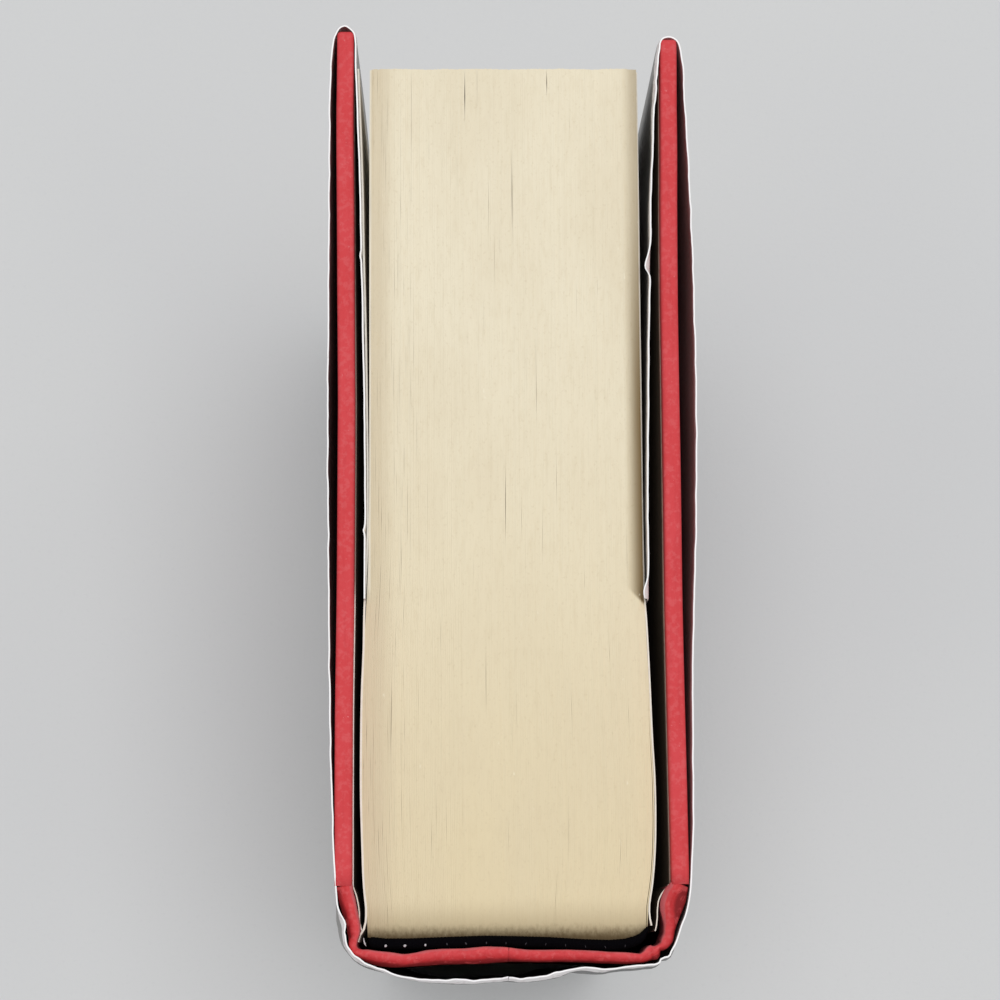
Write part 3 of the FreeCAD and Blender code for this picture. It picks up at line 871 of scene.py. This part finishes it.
# %% Lines and creases of the folded band
# Middle of the band in plan and its half thickness, in mm; then the place of its crest (0 inner side,
# 1 outer side) and how far the fold falls away to the inner and to the outer side, in mm.
BAND_LINES = {
    "front": [(-1, -80.22, 1.19, 0.32, 0.35, 0.9), (1.4, -80.41, 1.06, 0.35, 0.35, 0.8),
        (3.5, -80.5, 1.02, 0.4, 0.35, 0.7), (7.8, -80.49, 1.05, 0.38, 0.35, 0.8),
        (12, -80.61, 1.02, 0.34, 0.3, 0.95), (16.3, -80.86, 1, 0.3, 0.25, 1.2),
        (18.5, -80.94, 1, 0.28, 0.15, 1.2), (20.6, -81, 0.88, 0.3, 0.15, 1.2),
        (21.7, -80.98, 0.8, 0.35, 0.15, 1.1), (22.5, -80.65, 0.92, 0.45, 0.15, 1),
        (23.3, -80.15, 1.2, 0.55, 0.25, 0.6), (23.9, -79.95, 1.28, 0.6, 0.45, 0.45),
        (24.25, -79.72, 1, 0.6, 0.5, 0.6), (24.55, -79.42, 0.66, 0.5, 0.5, 0.9),
        (25, -79.18, 0.66, 0.45, 0.4, 0.9), (25.55, -78.85, 0.8, 0.4, 0.4, 0.7),
        (26.1, -78, 0.98, 0.45, 0.5, 0.5), (26.45, -77.1, 0.92, 0.45, 0.4, 0.5),
        (26.6, -76.2, 0.94, 0.5, 0.45, 0.4), (26.75, -75.3, 1.06, 0.55, 0.8, 0.35),
        (26.83, -74.3, 1.35, 0.63, 1.3, 0.3), (26.95, -73, 1.75, 0.7, 1.8, 0.3),
        (27.15, -71.8, 1.98, 0.72, 2.1, 0.3), (27.48, -70.8, 2.06, 0.72, 2, 0.3),
        (27.85, -69.9, 1.95, 0.66, 1.4, 0.28), (28.2, -69.2, 1.72, 0.55, 0.7, 0.25),
        (28.5, -68.5, 1.5, 0.5, 0.25, 0.25)],
    "back": [(-1, -80.22, 1.2, 0.32, 0.35, 0.9), (-2.6, -80.22, 1.3, 0.32, 0.35, 0.9),
        (-4.15, -80.25, 1.38, 0.34, 0.35, 0.9), (-7.35, -80.42, 1.36, 0.36, 0.35, 0.9),
        (-9.5, -80.5, 1.33, 0.36, 0.3, 0.9), (-12.7, -80.55, 1.3, 0.35, 0.25, 1),
        (-14.8, -80.72, 1.28, 0.35, 0.25, 1.1), (-17, -81, 1.15, 0.35, 0.2, 1.2),
        (-19.1, -81.15, 1.13, 0.4, 0.2, 1), (-21.2, -81, 1.26, 0.32, 0.15, 1.4),
        (-23.4, -80.73, 1.22, 0.3, 0.15, 1.7), (-25.2, -80.3, 1.05, 0.3, 0.15, 1.5),
        (-26.45, -79.95, 0.8, 0.35, 0.2, 0.9), (-27.3, -79.4, 0.74, 0.4, 0.3, 0.7),
        (-27.6, -78.6, 0.7, 0.45, 0.3, 0.5), (-27.52, -77.7, 0.78, 0.4, 0.2, 0.8),
        (-27.45, -76.6, 1.05, 0.35, 0.2, 1.4), (-27.52, -75.4, 1.2, 0.35, 0.3, 1.6),
        (-27.76, -74.25, 1.24, 0.35, 0.35, 1.6), (-28.07, -73.1, 1.31, 0.38, 0.4, 1.4),
        (-28.34, -72, 1.35, 0.42, 0.4, 1.1), (-28.6, -70.9, 1.43, 0.45, 0.4, 0.8),
        (-28.9, -69.7, 1.42, 0.5, 0.3, 0.5), (-29.15, -68.5, 1.47, 0.5, 0.25, 0.25)],
}
# Creases: place in plan, depth, width along the band and slant across it, all in mm, and which part of
# the fold they cross (0 inner side, 1 outer side).
CREASES = {
    "front": [(28.3, -69.1, 0.45, 0.3, 0.2, 0.55), (24.7, -79.4, 1, 0.3, -0.3, 0.9),
        (23.1, -80.3, 0.6, 0.22, 0.4, 0.4), (24, -79.9, 0.35, 0.15, 0.8, 0.75),
        (27.6, -70.6, 0.2, 0.35, 0.6, 0.2), (22.3, -80.6, 0.5, 0.3, 0.3, 0.5),
        (26.4, -77.3, 0.25, 0.25, -0.4, 0.4), (14.5, -80.8, 0.2, 0.4, 1.5, 0.7),
        (3, -80.5, 0.1, 0.3, 1, 0.6)],
    "back": [(-29.1, -68.8, 0.35, 0.25, -0.3, 0.2), (-27.5, -76.7, 0.8, 0.25, 0.5, 0.8),
        (-26.9, -79.7, 0.7, 0.3, 0.2, 0.2), (-28.3, -72.2, 0.15, 0.4, 0.5, 0.5),
        (-18, -81, 0.25, 0.5, -2, 0.5), (-27.6, -78.2, 0.2, 0.25, -0.3, 0.5),
        (-8, -80.4, 0.1, 0.3, -1, 0.6)],
}
print("creases:", len(CREASES["front"]), "and", len(CREASES["back"]))

# %% Folded band over spine and joints
CASE_TAIL, CASE_HEAD = (corner.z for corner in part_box("spine_cover_paper"))
TOP_POINTS, FOOT_POINTS, SIDE_POINTS = 15, 6, 36
SHOULDER = 0.0005


def band_section(half, crest, inner_fall, outer_fall):
    """Across (outwards) and height of a folded section's points, inner ply round to inner ply."""
    share = (1 - np.cos(np.linspace(0, np.pi, TOP_POINTS))) / 2
    side_share = np.where(share < crest, (crest - share) / crest, (share - crest) / (1 - crest))
    fall = np.where(share < crest, inner_fall + 0.00012, outer_fall + 0.00012) * side_share ** 2.0
    fall += 0.00030 * np.clip((side_share - 0.82) / 0.18, 0, 1) ** 2
    top = -half + 2 * half * share
    head_foot = np.linspace(CASE_HEAD - TURN_IN, CASE_HEAD - fall[0] - SHOULDER, FOOT_POINTS)
    outer = np.linspace(CASE_HEAD - fall[-1] - SHOULDER, CASE_TAIL + fall[-1] + SHOULDER, SIDE_POINTS)
    tail_foot = np.linspace(CASE_TAIL + fall[0] + SHOULDER, CASE_TAIL + TURN_IN, FOOT_POINTS)
    inner_ply = np.full(FOOT_POINTS, -half)
    across = np.concatenate([inner_ply, top, np.full(SIDE_POINTS, half), top[::-1], inner_ply])
    up = np.concatenate([head_foot, CASE_HEAD - fall, outer, CASE_TAIL + fall[::-1], tail_foot])
    return across, up


def folded_band(side, hand, seed):
    table = follow(BAND_LINES[side], 0.35)
    line, crests, falls = table[:, :2], table[:, 3] / MM, np.maximum(table[:, 4:], 0.0)
    run = run_of(line)
    out = right_of(line) * hand
    half = table[:, 2] * (1 + 0.03 * wander(run, 0.009, seed))
    level = 0.00006 * wander(run, 0.011, seed + 1) - 0.00006
    on_joint = rise(run, 0.021, 0.027)
    creases = []
    for x, y, depth, width, slant, part in CREASES[side]:
        nearest = np.argmin(np.hypot(line[:, 0] - x * MM, line[:, 1] - y * MM))
        creases.append((run[nearest], depth * MM, width * MM, slant, part))
    rows = []
    for i in range(len(line)):
        across, up = band_section(half[i], crests[i], *falls[i])
        near_head = rise(up, CASE_HEAD - 0.006, CASE_HEAD - 0.001)
        share = (across / half[i] + 1) / 2
        crumple = (0.00007 + 0.00006 * on_joint[i]) * wander(run[i] + across * 0.7, 0.0037, seed + 3)
        crumple += (0.00005 + 0.00003 * on_joint[i]) * wander(run[i] * 0.5 - across, 0.0021, seed + 4)
        for where, depth, width, slant, part in creases:
            pressed = np.exp(-((share - part) / 0.42) ** 2)
            crumple -= depth * np.exp(-abs(run[i] + slant * across - where) / width) * pressed
        buckle = 0.00010 * wander(up + run[i] * 2, 0.05, seed + 2)
        outward = across + np.where(across > 0, buckle, 0) * (1 - near_head)
        rows.append(np.stack([line[i, 0] + out[i, 0] * outward, line[i, 1] + out[i, 1] * outward,
                              up + (level[i] + crumple) * near_head], axis=1))
    grid = np.array(rows)
    count, columns = grid.shape[:2]
    piece = new_piece(f"{side}_spine_covering", grid.reshape(-1, 3),
                      grid_faces(count, columns, 0, hand > 0), [STRIP], smooth_below=70)
    legs = np.linalg.norm(np.diff(grid, axis=1), axis=2)
    girth = np.concatenate([np.zeros((count, 1)), np.cumsum(legs, axis=1)], axis=1)
    crest_column = FOOT_POINTS + TOP_POINTS // 3
    girth -= girth[:, [crest_column]]
    flat_map(piece, np.repeat(run, columns), girth.ravel())
    thicken(piece, COVERING_THICK)
    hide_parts("spine_cover_paper")
    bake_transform(piece)
    return piece


for side, hand, seed in (("front", 1, 51), ("back", -1, 61)):
    print(folded_band(side, hand, seed).name, "bends at the hinge")

# %% [markdown]
# ## Endpaper across the joint
# A narrow strip of the endpaper leaves the board, dips into the joint and is glued to the shoulder of
# the pages.

# %% Endpaper joints
JOINT_LINES = {
    "front": [(26.8, -68.5), (26.5, -68.95), (26, -69.5), (25.42, -70.3), (25.02, -71.3), (24.86, -72.3),
        (24.76, -73.2), (24.7, -74.2), (24.55, -75.6), (24.35, -76.4)],
    "back": [(-27.7, -68.5), (-27.32, -69.6), (-26.98, -70.8), (-26.78, -72), (-26.64, -73.1),
        (-26.6, -74.2), (-26.45, -75.2), (-26.2, -76.05)],
}


def joint_sway(along, up):
    return 0.00006 * wander(up, 0.11, 72) + 0.00004 * wander(along, 0.006, 71)


for side, hand in (("front", -1), ("back", 1)):
    strip = standing_paper(f"{side}_endpaper_joint", follow(JOINT_LINES[side], 0.35), 0.0002,
                           levels(PAGE_TAIL, PAGE_HEAD, 16), joint_sway,
                           [LEAF_PAINTED_SHADE, LEAF_PAINTED_SHADE, WHITE_LEAF], hand)
    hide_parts(f"{side}_endpaper_hinge")
    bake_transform(strip)
    print(strip.name, "dips into the joint")

# %% [markdown]
# ## The dust jacket
# Each half is one sheet from the middle of the spine, round the corner, over the board, round the
# fore-edge and back in as the flap. Its body follows the listed line, and its head edge leans in
# from it with small kinks. Below that edge the sheet bellies out in places, the front flap has two bent
# bulges and a torn tip, and the back flap has two nicks.

# %% Lines of the jacket
# Outer face of the sheet in plan, and how far its head edge leans in from it, in mm.
JACKET_LINES = {
    "front": [(-1, -84.88, 0.3), (1.4, -84.99, 0.38), (3.5, -84.84, 0.4), (5.66, -84.54, 0.35),
        (7.8, -84.13, 0.42), (8.86, -83.72, 0.4), (9.93, -83.3, 0.3), (11.2, -83.09, 0.22),
        (12.9, -83.21, 0.32), (14.2, -83.38, 0.28), (15.5, -83.33, 0.2), (16.3, -83.12, 0.12),
        (18.5, -82.82, 0.12), (20.6, -82.72, 0.18), (22.7, -82.46, 0.14), (24.3, -82.32, 0.1),
        (25, -81.9, 0.1), (25.3, -81.25, 0.1), (26.2, -81.05, 0.1), (26.7, -80.65, 0.08),
        (26.95, -80, 0.06), (27.3, -79.33, 0.04), (27.6, -78.56, 0), (28.15, -77.02, 0), (28.7, -75.51, 0),
        (29.4, -73.97, 0), (29.84, -72.39, 0), (30.15, -70.86, 0), (30.4, -69.34, 0), (30.52, -67.8, 0),
        (30.9, -60, 0), (31.1, -54.2, 0), (31.15, -45, 0), (31.25, -36.9, 0), (31.65, -25, 0.02),
        (32.3, -10.7, 0.06), (32.68, 2, 0.06), (32.88, 16, 0.08), (32.9, 30, 0.12), (32.78, 43.2, 0.16),
        (32.48, 54, 0.14), (32.2, 61.6, 0.12), (31.98, 68, 0.14), (31.7, 74.6, 0.18), (31.4, 78.7, 0.1),
        (31.14, 80.56, 0.1), (30.72, 81.8, 0.1), (30.12, 82.5, 0.1), (29.4, 82.89, 0.12),
        (28.5, 82.92, 0.12), (27.5, 82.65, 0.2), (26.95, 82.05, 0.25), (26.62, 81, 0.28),
        (26.27, 78.4, 0.38), (25.93, 74.6, 0.4), (25.68, 70.9, 0.28), (25.55, 66, 0.12),
        (25.48, 61.6, 0.05), (25.2, 57, 0.05), (24.92, 52.4, 0.08), (24.75, 43.2, 0.1), (24.5, 34.1, 0.05),
        (24.22, 25, 0.05), (24.02, 16, 0.07), (23.78, 6, 0.08), (23.64, -1.8, 0.08), (23.64, -12.4, 0.03),
        (23.66, -19, 0)],
    "back": [(-1, -84.88, 0.3), (-2, -84.95, 0.28), (-4.15, -85.01, 0.28), (-6.3, -85.2, 0.33),
        (-8.4, -85.28, 0.34), (-10.55, -85.22, 0.34), (-12.7, -85.06, 0.3), (-14.8, -84.9, 0.28),
        (-17, -84.62, 0.16), (-19.1, -84.25, 0.12), (-20.2, -83.95, 0.14), (-21.2, -83.58, 0.18),
        (-22.3, -83.18, 0.22), (-23.4, -82.82, 0.2), (-24.4, -82.42, 0.18), (-25.5, -82.05, 0.2),
        (-26.5, -81.62, 0.28), (-27.5, -81, 0.36), (-28.4, -79.9, 0.34), (-29.1, -78.76, 0.3),
        (-29.43, -77.63, 0.28), (-29.56, -76.5, 0.36), (-29.68, -75.4, 0.5), (-29.98, -74.3, 0.48),
        (-30.2, -73.1, 0.2), (-30.42, -72, 0.14), (-30.6, -69.74, 0.1), (-30.82, -67.5, 0.08),
        (-31.1, -62, 0.06), (-31.4, -53.9, 0.05), (-31.85, -36.7, 0.05), (-32.05, -22, 0.05),
        (-32.18, -10.5, 0.05), (-32.38, 3, 0.08), (-32.5, 16.2, 0.1), (-32.42, 30, 0.08),
        (-32.36, 43.3, 0.07), (-32.34, 61.7, 0.08), (-32.24, 74.7, 0.08), (-32.08, 78.5, 0.08),
        (-31.84, 81.2, 0.08), (-31.55, 83.2, 0.18), (-31.15, 84.35, 0.32), (-30.5, 85.12, 0.46),
        (-29.5, 85.42, 0.55), (-28.6, 85.1, 0.48), (-27.9, 84.5, 0.32), (-27.5, 83.7, 0.18),
        (-27.37, 82.2, 0.05), (-27.36, 80, 0.03), (-27.36, 78.4, 0.02), (-27.2, 74.7, 0.03),
        (-27.07, 71, 0.03), (-26.89, 66.3, 0.03), (-26.7, 61.7, 0.03), (-26.42, 52.5, 0.03),
        (-26.26, 43.3, 0.03), (-26.03, 34.2, 0.03), (-25.85, 25.2, 0.02), (-25.67, 16.2, 0.02),
        (-25.54, 7.2, 0.02), (-25.46, -1.6, 0.02), (-25.52, -12.2, 0.02), (-25.6, -19, 0)],
}
# Places along each sheet where the body bellies out below the head edge: middle, width, amount, in mm.
BELLIES = {
    "front": [(19, 5, 0.45), (25, 3, 0.35), (29.6, 1.8, 0.7), (45, 8, 0.15)],
    "back": [(33.5, 4, 0.85), (24.5, 2.5, 0.3), (44, 5, 0.15), (110, 40, 0.25)],
}
print("jacket points:", len(JACKET_LINES["front"]), "and", len(JACKET_LINES["back"]))

# %% Jacket halves
JACKET_THICK = 0.00025
JACKET_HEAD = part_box("jacket_front")[1].z
JACKET_TAIL = 0.00002
# Along the sheet from the middle of the spine: the end of the spine part, and where the flap begins.
SPINE_PART, FLAP_FROM, FLAP_CLEAR = 0.032, 0.197, 0.205
# How many times the lean that the lines give, on the spine part and beyond it.
SPINE_LEAN, BOARD_LEAN = 1.75, 1.25
# Back along the flap from its end: the bend of the front flap, and the nicks of the back one.
FLAP_BEND, NICKS = 0.0592, (0.0614, 0.0120)


def jacket_half(side, hand, seed):
    line = follow(JACKET_LINES[side], 0.6)
    run = run_of(line)
    run_end = run[-1]
    knots = np.arange(0.0, run_end + 0.004, 0.0026)
    kinks = np.random.RandomState(seed).uniform(-1, 1, len(knots))
    lip = np.maximum(line[:, 2], 0.0) * np.where(run < SPINE_PART, SPINE_LEAN, BOARD_LEAN)

    def sway(along, up):
        below = JACKET_HEAD - up
        above = up - JACKET_TAIL
        belly = sum(amount * MM * hump(along, middle * MM, width * MM)
                    for middle, width, amount in BELLIES[side])
        belly = belly * rise(below, 0.0010, 0.010) * rise(above, 0.0004, 0.012)
        on_flap = rise(along, FLAP_FROM, FLAP_CLEAR)
        uneven = 1 + 0.35 * wander(along, 0.0083, seed)
        lean = lip[:, None] * uneven * np.exp(-(below / 0.0011) ** 1.3)
        kink = np.interp(along, knots, kinks) * (0.00006 - 0.00003 * on_flap) * np.exp(-below / 0.004)
        slack = 0.00014 * wander(along + up * 0.3, 0.075, seed + 1) * rise(below, 0.0, 0.02)
        slack += 0.00005 * wander(along, 0.017, seed + 2)
        push = belly - lean + kink + slack * (1 - 0.7 * on_flap) + 0.00015 * np.exp(-above / 0.0011)
        if side == "front":
            bend = run_end - FLAP_BEND
            swept = np.where(along < bend, 0.0026, 0.0011)
            bulges = 0.00092 * hump(along, bend, swept) + 0.00080 * hump(along, run_end - 0.0010, 0.0018)
            return push + bulges * np.exp(-(below / 0.0008) ** 1.7)
        nicked = sum(hump(along, run_end - nick, 0.0006) for nick in NICKS)
        return push - 0.00024 * nicked * np.exp(-below / 0.004)

    def lift(along, up):
        ragged = 0.00005 * wander(along, 0.009, seed + 4) - 0.00005
        if side == "front":
            torn = rise(along, run_end - 0.0016, run_end) * (1 + 0.5 * wander(along, 0.0011, 3))
            ragged = ragged - 0.0009 * torn
        return ragged * np.exp(-(JACKET_HEAD - up) / 0.003)

    piece = standing_paper(f"{side}_jacket", line, JACKET_THICK, levels(JACKET_TAIL, JACKET_HEAD, 24),
                           sway, [PRINTED, JACKET_INSIDE_PAINTED_SHADE, JACKET_EDGE], hand, lift)
    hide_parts(f"jacket_{side}", "jacket_spine")
    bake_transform(piece)
    return piece, run_end


for side, hand, seed in (("front", 1, 81), ("back", -1, 91)):
    half, length = jacket_half(side, hand, seed)
    print(half.name, "is", round(length / MM), "mm of sheet,", len(half.data.vertices), "points")

# %% [markdown]
# ## Headband and tailband
# A worked band is a core oversewn with thread, glued on a tape to the back of the pages so that its bead
# stands over the edge. A section with the bead above and the tape below is swept across the spine,
# swelling at each turn of thread. Every few turns a paler stitch comes over the top, bright towards the
# back cover and dim further on.

# %% Worked bands
WRAP = 0.00058
BEAD_BACK, BEAD_UP, BEAD_DEEP, BEAD_TALL = -0.00072, 0.00020, 0.00095, 0.00110
TAPE = [(-0.0004, -0.0030), (-0.00042, -0.0075), (-0.0004, -0.0120), (-0.00002, -0.0120),
        (-0.00002, -0.0060), (-0.00002, -0.0008)]


def bead(angle, swell=1.0):
    """Place on the bead's section, out from the pages' spine end and up from their edge."""
    return BEAD_BACK + BEAD_DEEP * swell * math.cos(angle), BEAD_UP + BEAD_TALL * swell * math.sin(angle)


def worked_band(name, pages_end, up_sign):
    low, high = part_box(name)
    turns = int((high.x - low.x) / WRAP)
    across = np.linspace(low.x, high.x, turns * 6 + 1)
    thread = abs(np.sin(np.pi * (across - low.x) / WRAP)) ** 0.7
    span = (across - low.x) / (high.x - low.x)
    fat = 1 - 0.45 * rise(span, 0.985, 1.0) - 0.35 * rise(-span, -0.012, 0.0)
    angles = np.linspace(1.02 * np.pi, -0.62 * np.pi, 15)
    rows = []
    for x, y_end, swell in zip(across, spine_side(across), (0.93 + 0.07 * thread) * fat):
        section = [bead(angle, swell) for angle in angles] + TAPE
        rows.append([(x, y_end + y, pages_end + up_sign * z) for y, z in section])
    grid = np.array(rows)
    count, columns = grid.shape[:2]
    faces = []
    for i in range(count - 1):
        for j in range(columns):
            a, b = i * columns + j, i * columns + (j + 1) % columns
            faces.append((a, b, b + columns, a + columns))
    faces.append(tuple(range(columns))[::-1])
    faces.append(tuple((count - 1) * columns + j for j in range(columns)))
    piece = new_piece(name + "_worked", grid.reshape(-1, 3), turned(faces, up_sign < 0), [BLACK_THREAD],
                      smooth_below=50)
    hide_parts(name)
    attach(piece, "book_block")
    return turns


print("turns of thread to a centimetre:", round(0.01 / WRAP))

# %% Stitches over the bands
# Where the pale thread comes over the bead, across the spine in mm, and how much of it shows.
STITCHES = [(-22, 1), (-18.7, 1.25), (-15.2, 0.8), (-11.5, 0.5), (-8.25, 0.6), (-4.75, 0.45), (-1.4, 0.3),
    (2, 0.35), (5.4, 0.3), (8.8, 0.3), (12.2, 0.3), (15.6, 0.3), (19, 0.3)]
# A loose end by the back joint: its places in mm, and its half widths in metres.
TUFT = [(-25.78, -77.3, 238.6), (-25.72, -77.8, 239.0), (-25.55, -78.3, 239.0), (-25.35, -78.7, 238.6)]
TUFT_WIDTHS = [0.00006, 0.00010, 0.00014, 0.00003]
THREAD_SIDES, FLATNESS = 6, 0.7


def lay_thread(path, widths, points, faces):
    """Add one tapered thread along a path of places."""
    first = len(points)
    for k, (place, width) in enumerate(zip(path, widths)):
        way = (path[min(k + 1, len(path) - 1)] - path[max(k - 1, 0)]).normalized()
        side = way.cross(Vector((0, 0, 1))).normalized()
        over = side.cross(way) * FLATNESS
        for b in np.radians(np.arange(0, 360, 360 / THREAD_SIDES)):
            points.append(place + side * width * math.cos(b) + over * width * math.sin(b))
    last = len(points) - THREAD_SIDES
    for ring in range(first, last, THREAD_SIDES):
        for c in range(THREAD_SIDES):
            a, b = ring + c, ring + (c + 1) % THREAD_SIDES
            faces.append((a, b, b + THREAD_SIDES, a + THREAD_SIDES))
    faces.append(tuple(first + c for c in range(THREAD_SIDES))[::-1])
    faces.append(tuple(last + c for c in range(THREAD_SIDES)))


def pale_stitches(name, pages_end, up_sign):
    """Short loops of thread over the bead, and at the head one loose end."""
    points, faces, dimmed = [], [], []
    draw = np.random.RandomState(7)
    for place, size in STITCHES:
        x = place * MM
        lean = draw.uniform(-0.3, 0.3) * 0.0002
        path = []
        for k, angle in enumerate(np.radians(np.linspace(98, 124, 6))):
            y, z = bead(angle)
            path.append(Vector((x + lean * (k - 2.5), float(spine_side(x)) + y, pages_end + up_sign * z)))
        lay_thread(path, [0.00021 * size * w for w in (0.35, 0.85, 1.0, 1.0, 0.8, 0.3)], points, faces)
        dimmed += [int(size < 0.7)] * (len(faces) - len(dimmed))
    if up_sign > 0:
        lay_thread([Vector(place) * MM for place in TUFT], TUFT_WIDTHS, points, faces)
        dimmed += [0] * (len(faces) - len(dimmed))
    piece = new_piece(name + "_stitches", points, faces, [PALE_THREAD, DIM_THREAD], dimmed, smooth_below=70)
    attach(piece, "book_block")


for name, pages_end, up_sign in (("headband", PAGE_HEAD, 1), ("tailband", PAGE_TAIL, -1)):
    turns = worked_band(name, pages_end, up_sign)
    pale_stitches(name, pages_end, up_sign)
    print(name, "has", turns, "turns of thread and", len(STITCHES), "stitches")

# %% [markdown]
# ## Spine stiffener and lining
# Inside the folded band is a strip of thin board. It stops short of the folds at head and tail, and its
# edges are softened by handling, so it is a bevelled slab with a very slight round. Further in, the back
# of the pages is lined with a sheet of crepe that follows it.

# %% Stiffener and lining
def stiffener():
    low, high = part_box("spine_board")
    inside_low, inside_high = Vector((0.0012, -0.0001, 0.0042)), Vector((0.0012, 0.00115, 0.0042))
    form = box_form(low + inside_low, high - inside_high)
    soften(form, form.edges[:], 0.00015, 3)
    cut_across(form, [(0, x) for x in np.linspace(low.x + 0.004, high.x - 0.004, 12)])
    middle = (low.x + high.x) / 2
    for v in form.verts:
        v.co.y -= 0.0001 * (1 - ((v.co.x - middle) / (high.x - middle)) ** 2)
    piece = form_to_piece(form, "spine_stiffener", GREYBOARD, 50)
    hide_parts("spine_board")
    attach(piece, "book_block")
    return piece


def crepe_sway(along, up):
    return 0.00003 * wander(up, 0.011, 9) + 0.00002 * wander(along, 0.007, 8)


def back_lining():
    low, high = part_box("spine_lining")
    x = np.linspace(low.x, high.x, 60)
    line = np.stack([x, spine_side(x) - 0.00055], axis=1)
    piece = standing_paper("back_lining", line, 0.0005, levels(low.z, high.z, 30), crepe_sway,
                           [CREPE, CREPE, CREPE])
    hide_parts("spine_lining")
    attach(piece, "book_block")
    return piece


print(stiffener().name, "and", back_lining().name, "are in")

# %% [markdown]
# ## Table top and light
# The book stands on a plain pale grey table under broad, even light. The world gives most of it from
# every side; one soft lamp, high up and a little beyond the fore-edge, gives the head its slight fall of
# tone and the table a soft shadow.

# %% Table and light
def table_finish():
    top = Finish("table_top")
    place = place_in_book(top)
    speck = grain(place, 900, 2.0)
    grey = layered(
        mix(grain(place, 3).step(0.3, 0.7), ink(210, 211, 212), ink(216, 217, 217)),
        (speck.step(0.55, 0.75) * 0.2, (204, 205, 206)))
    return skin(top, grey, 0.7, speck, 0.00003, Specular_IOR_Level=0.3)


REACH, BELOW = 12.0, 0.00003
corners = [(-REACH, -REACH, 0), (REACH, -REACH, 0), (REACH, REACH, 0), (-REACH, REACH, 0)]
table = new_piece("table_top", corners, [(0, 1, 2, 3)], [table_finish()])
table.location.z = -BELOW

sky = bpy.data.worlds.new("even_light")
sky.use_nodes = True
sky.node_tree.nodes["Background"].inputs["Color"].default_value = (0.985, 0.99, 1.0, 1.0)
sky.node_tree.nodes["Background"].inputs["Strength"].default_value = 0.48
bpy.context.scene.world = sky

lamp = bpy.data.objects.new("window_light", bpy.data.lights.new("window_light", "AREA"))
lamp.data.shape = "DISK"
lamp.data.size = 1.6
lamp.data.energy = 52.0
lamp.location = (0.10, 0.15, 3.2)
lamp.rotation_euler = (Vector((0, 0, 0.2)) - lamp.location).to_track_quat("-Z", "Y").to_euler()
bpy.context.scene.collection.objects.link(lamp)
bpy.context.scene.view_settings.view_transform = "Standard"
print("lamp", lamp.data.size, "m wide at", lamp.data.energy, "W")
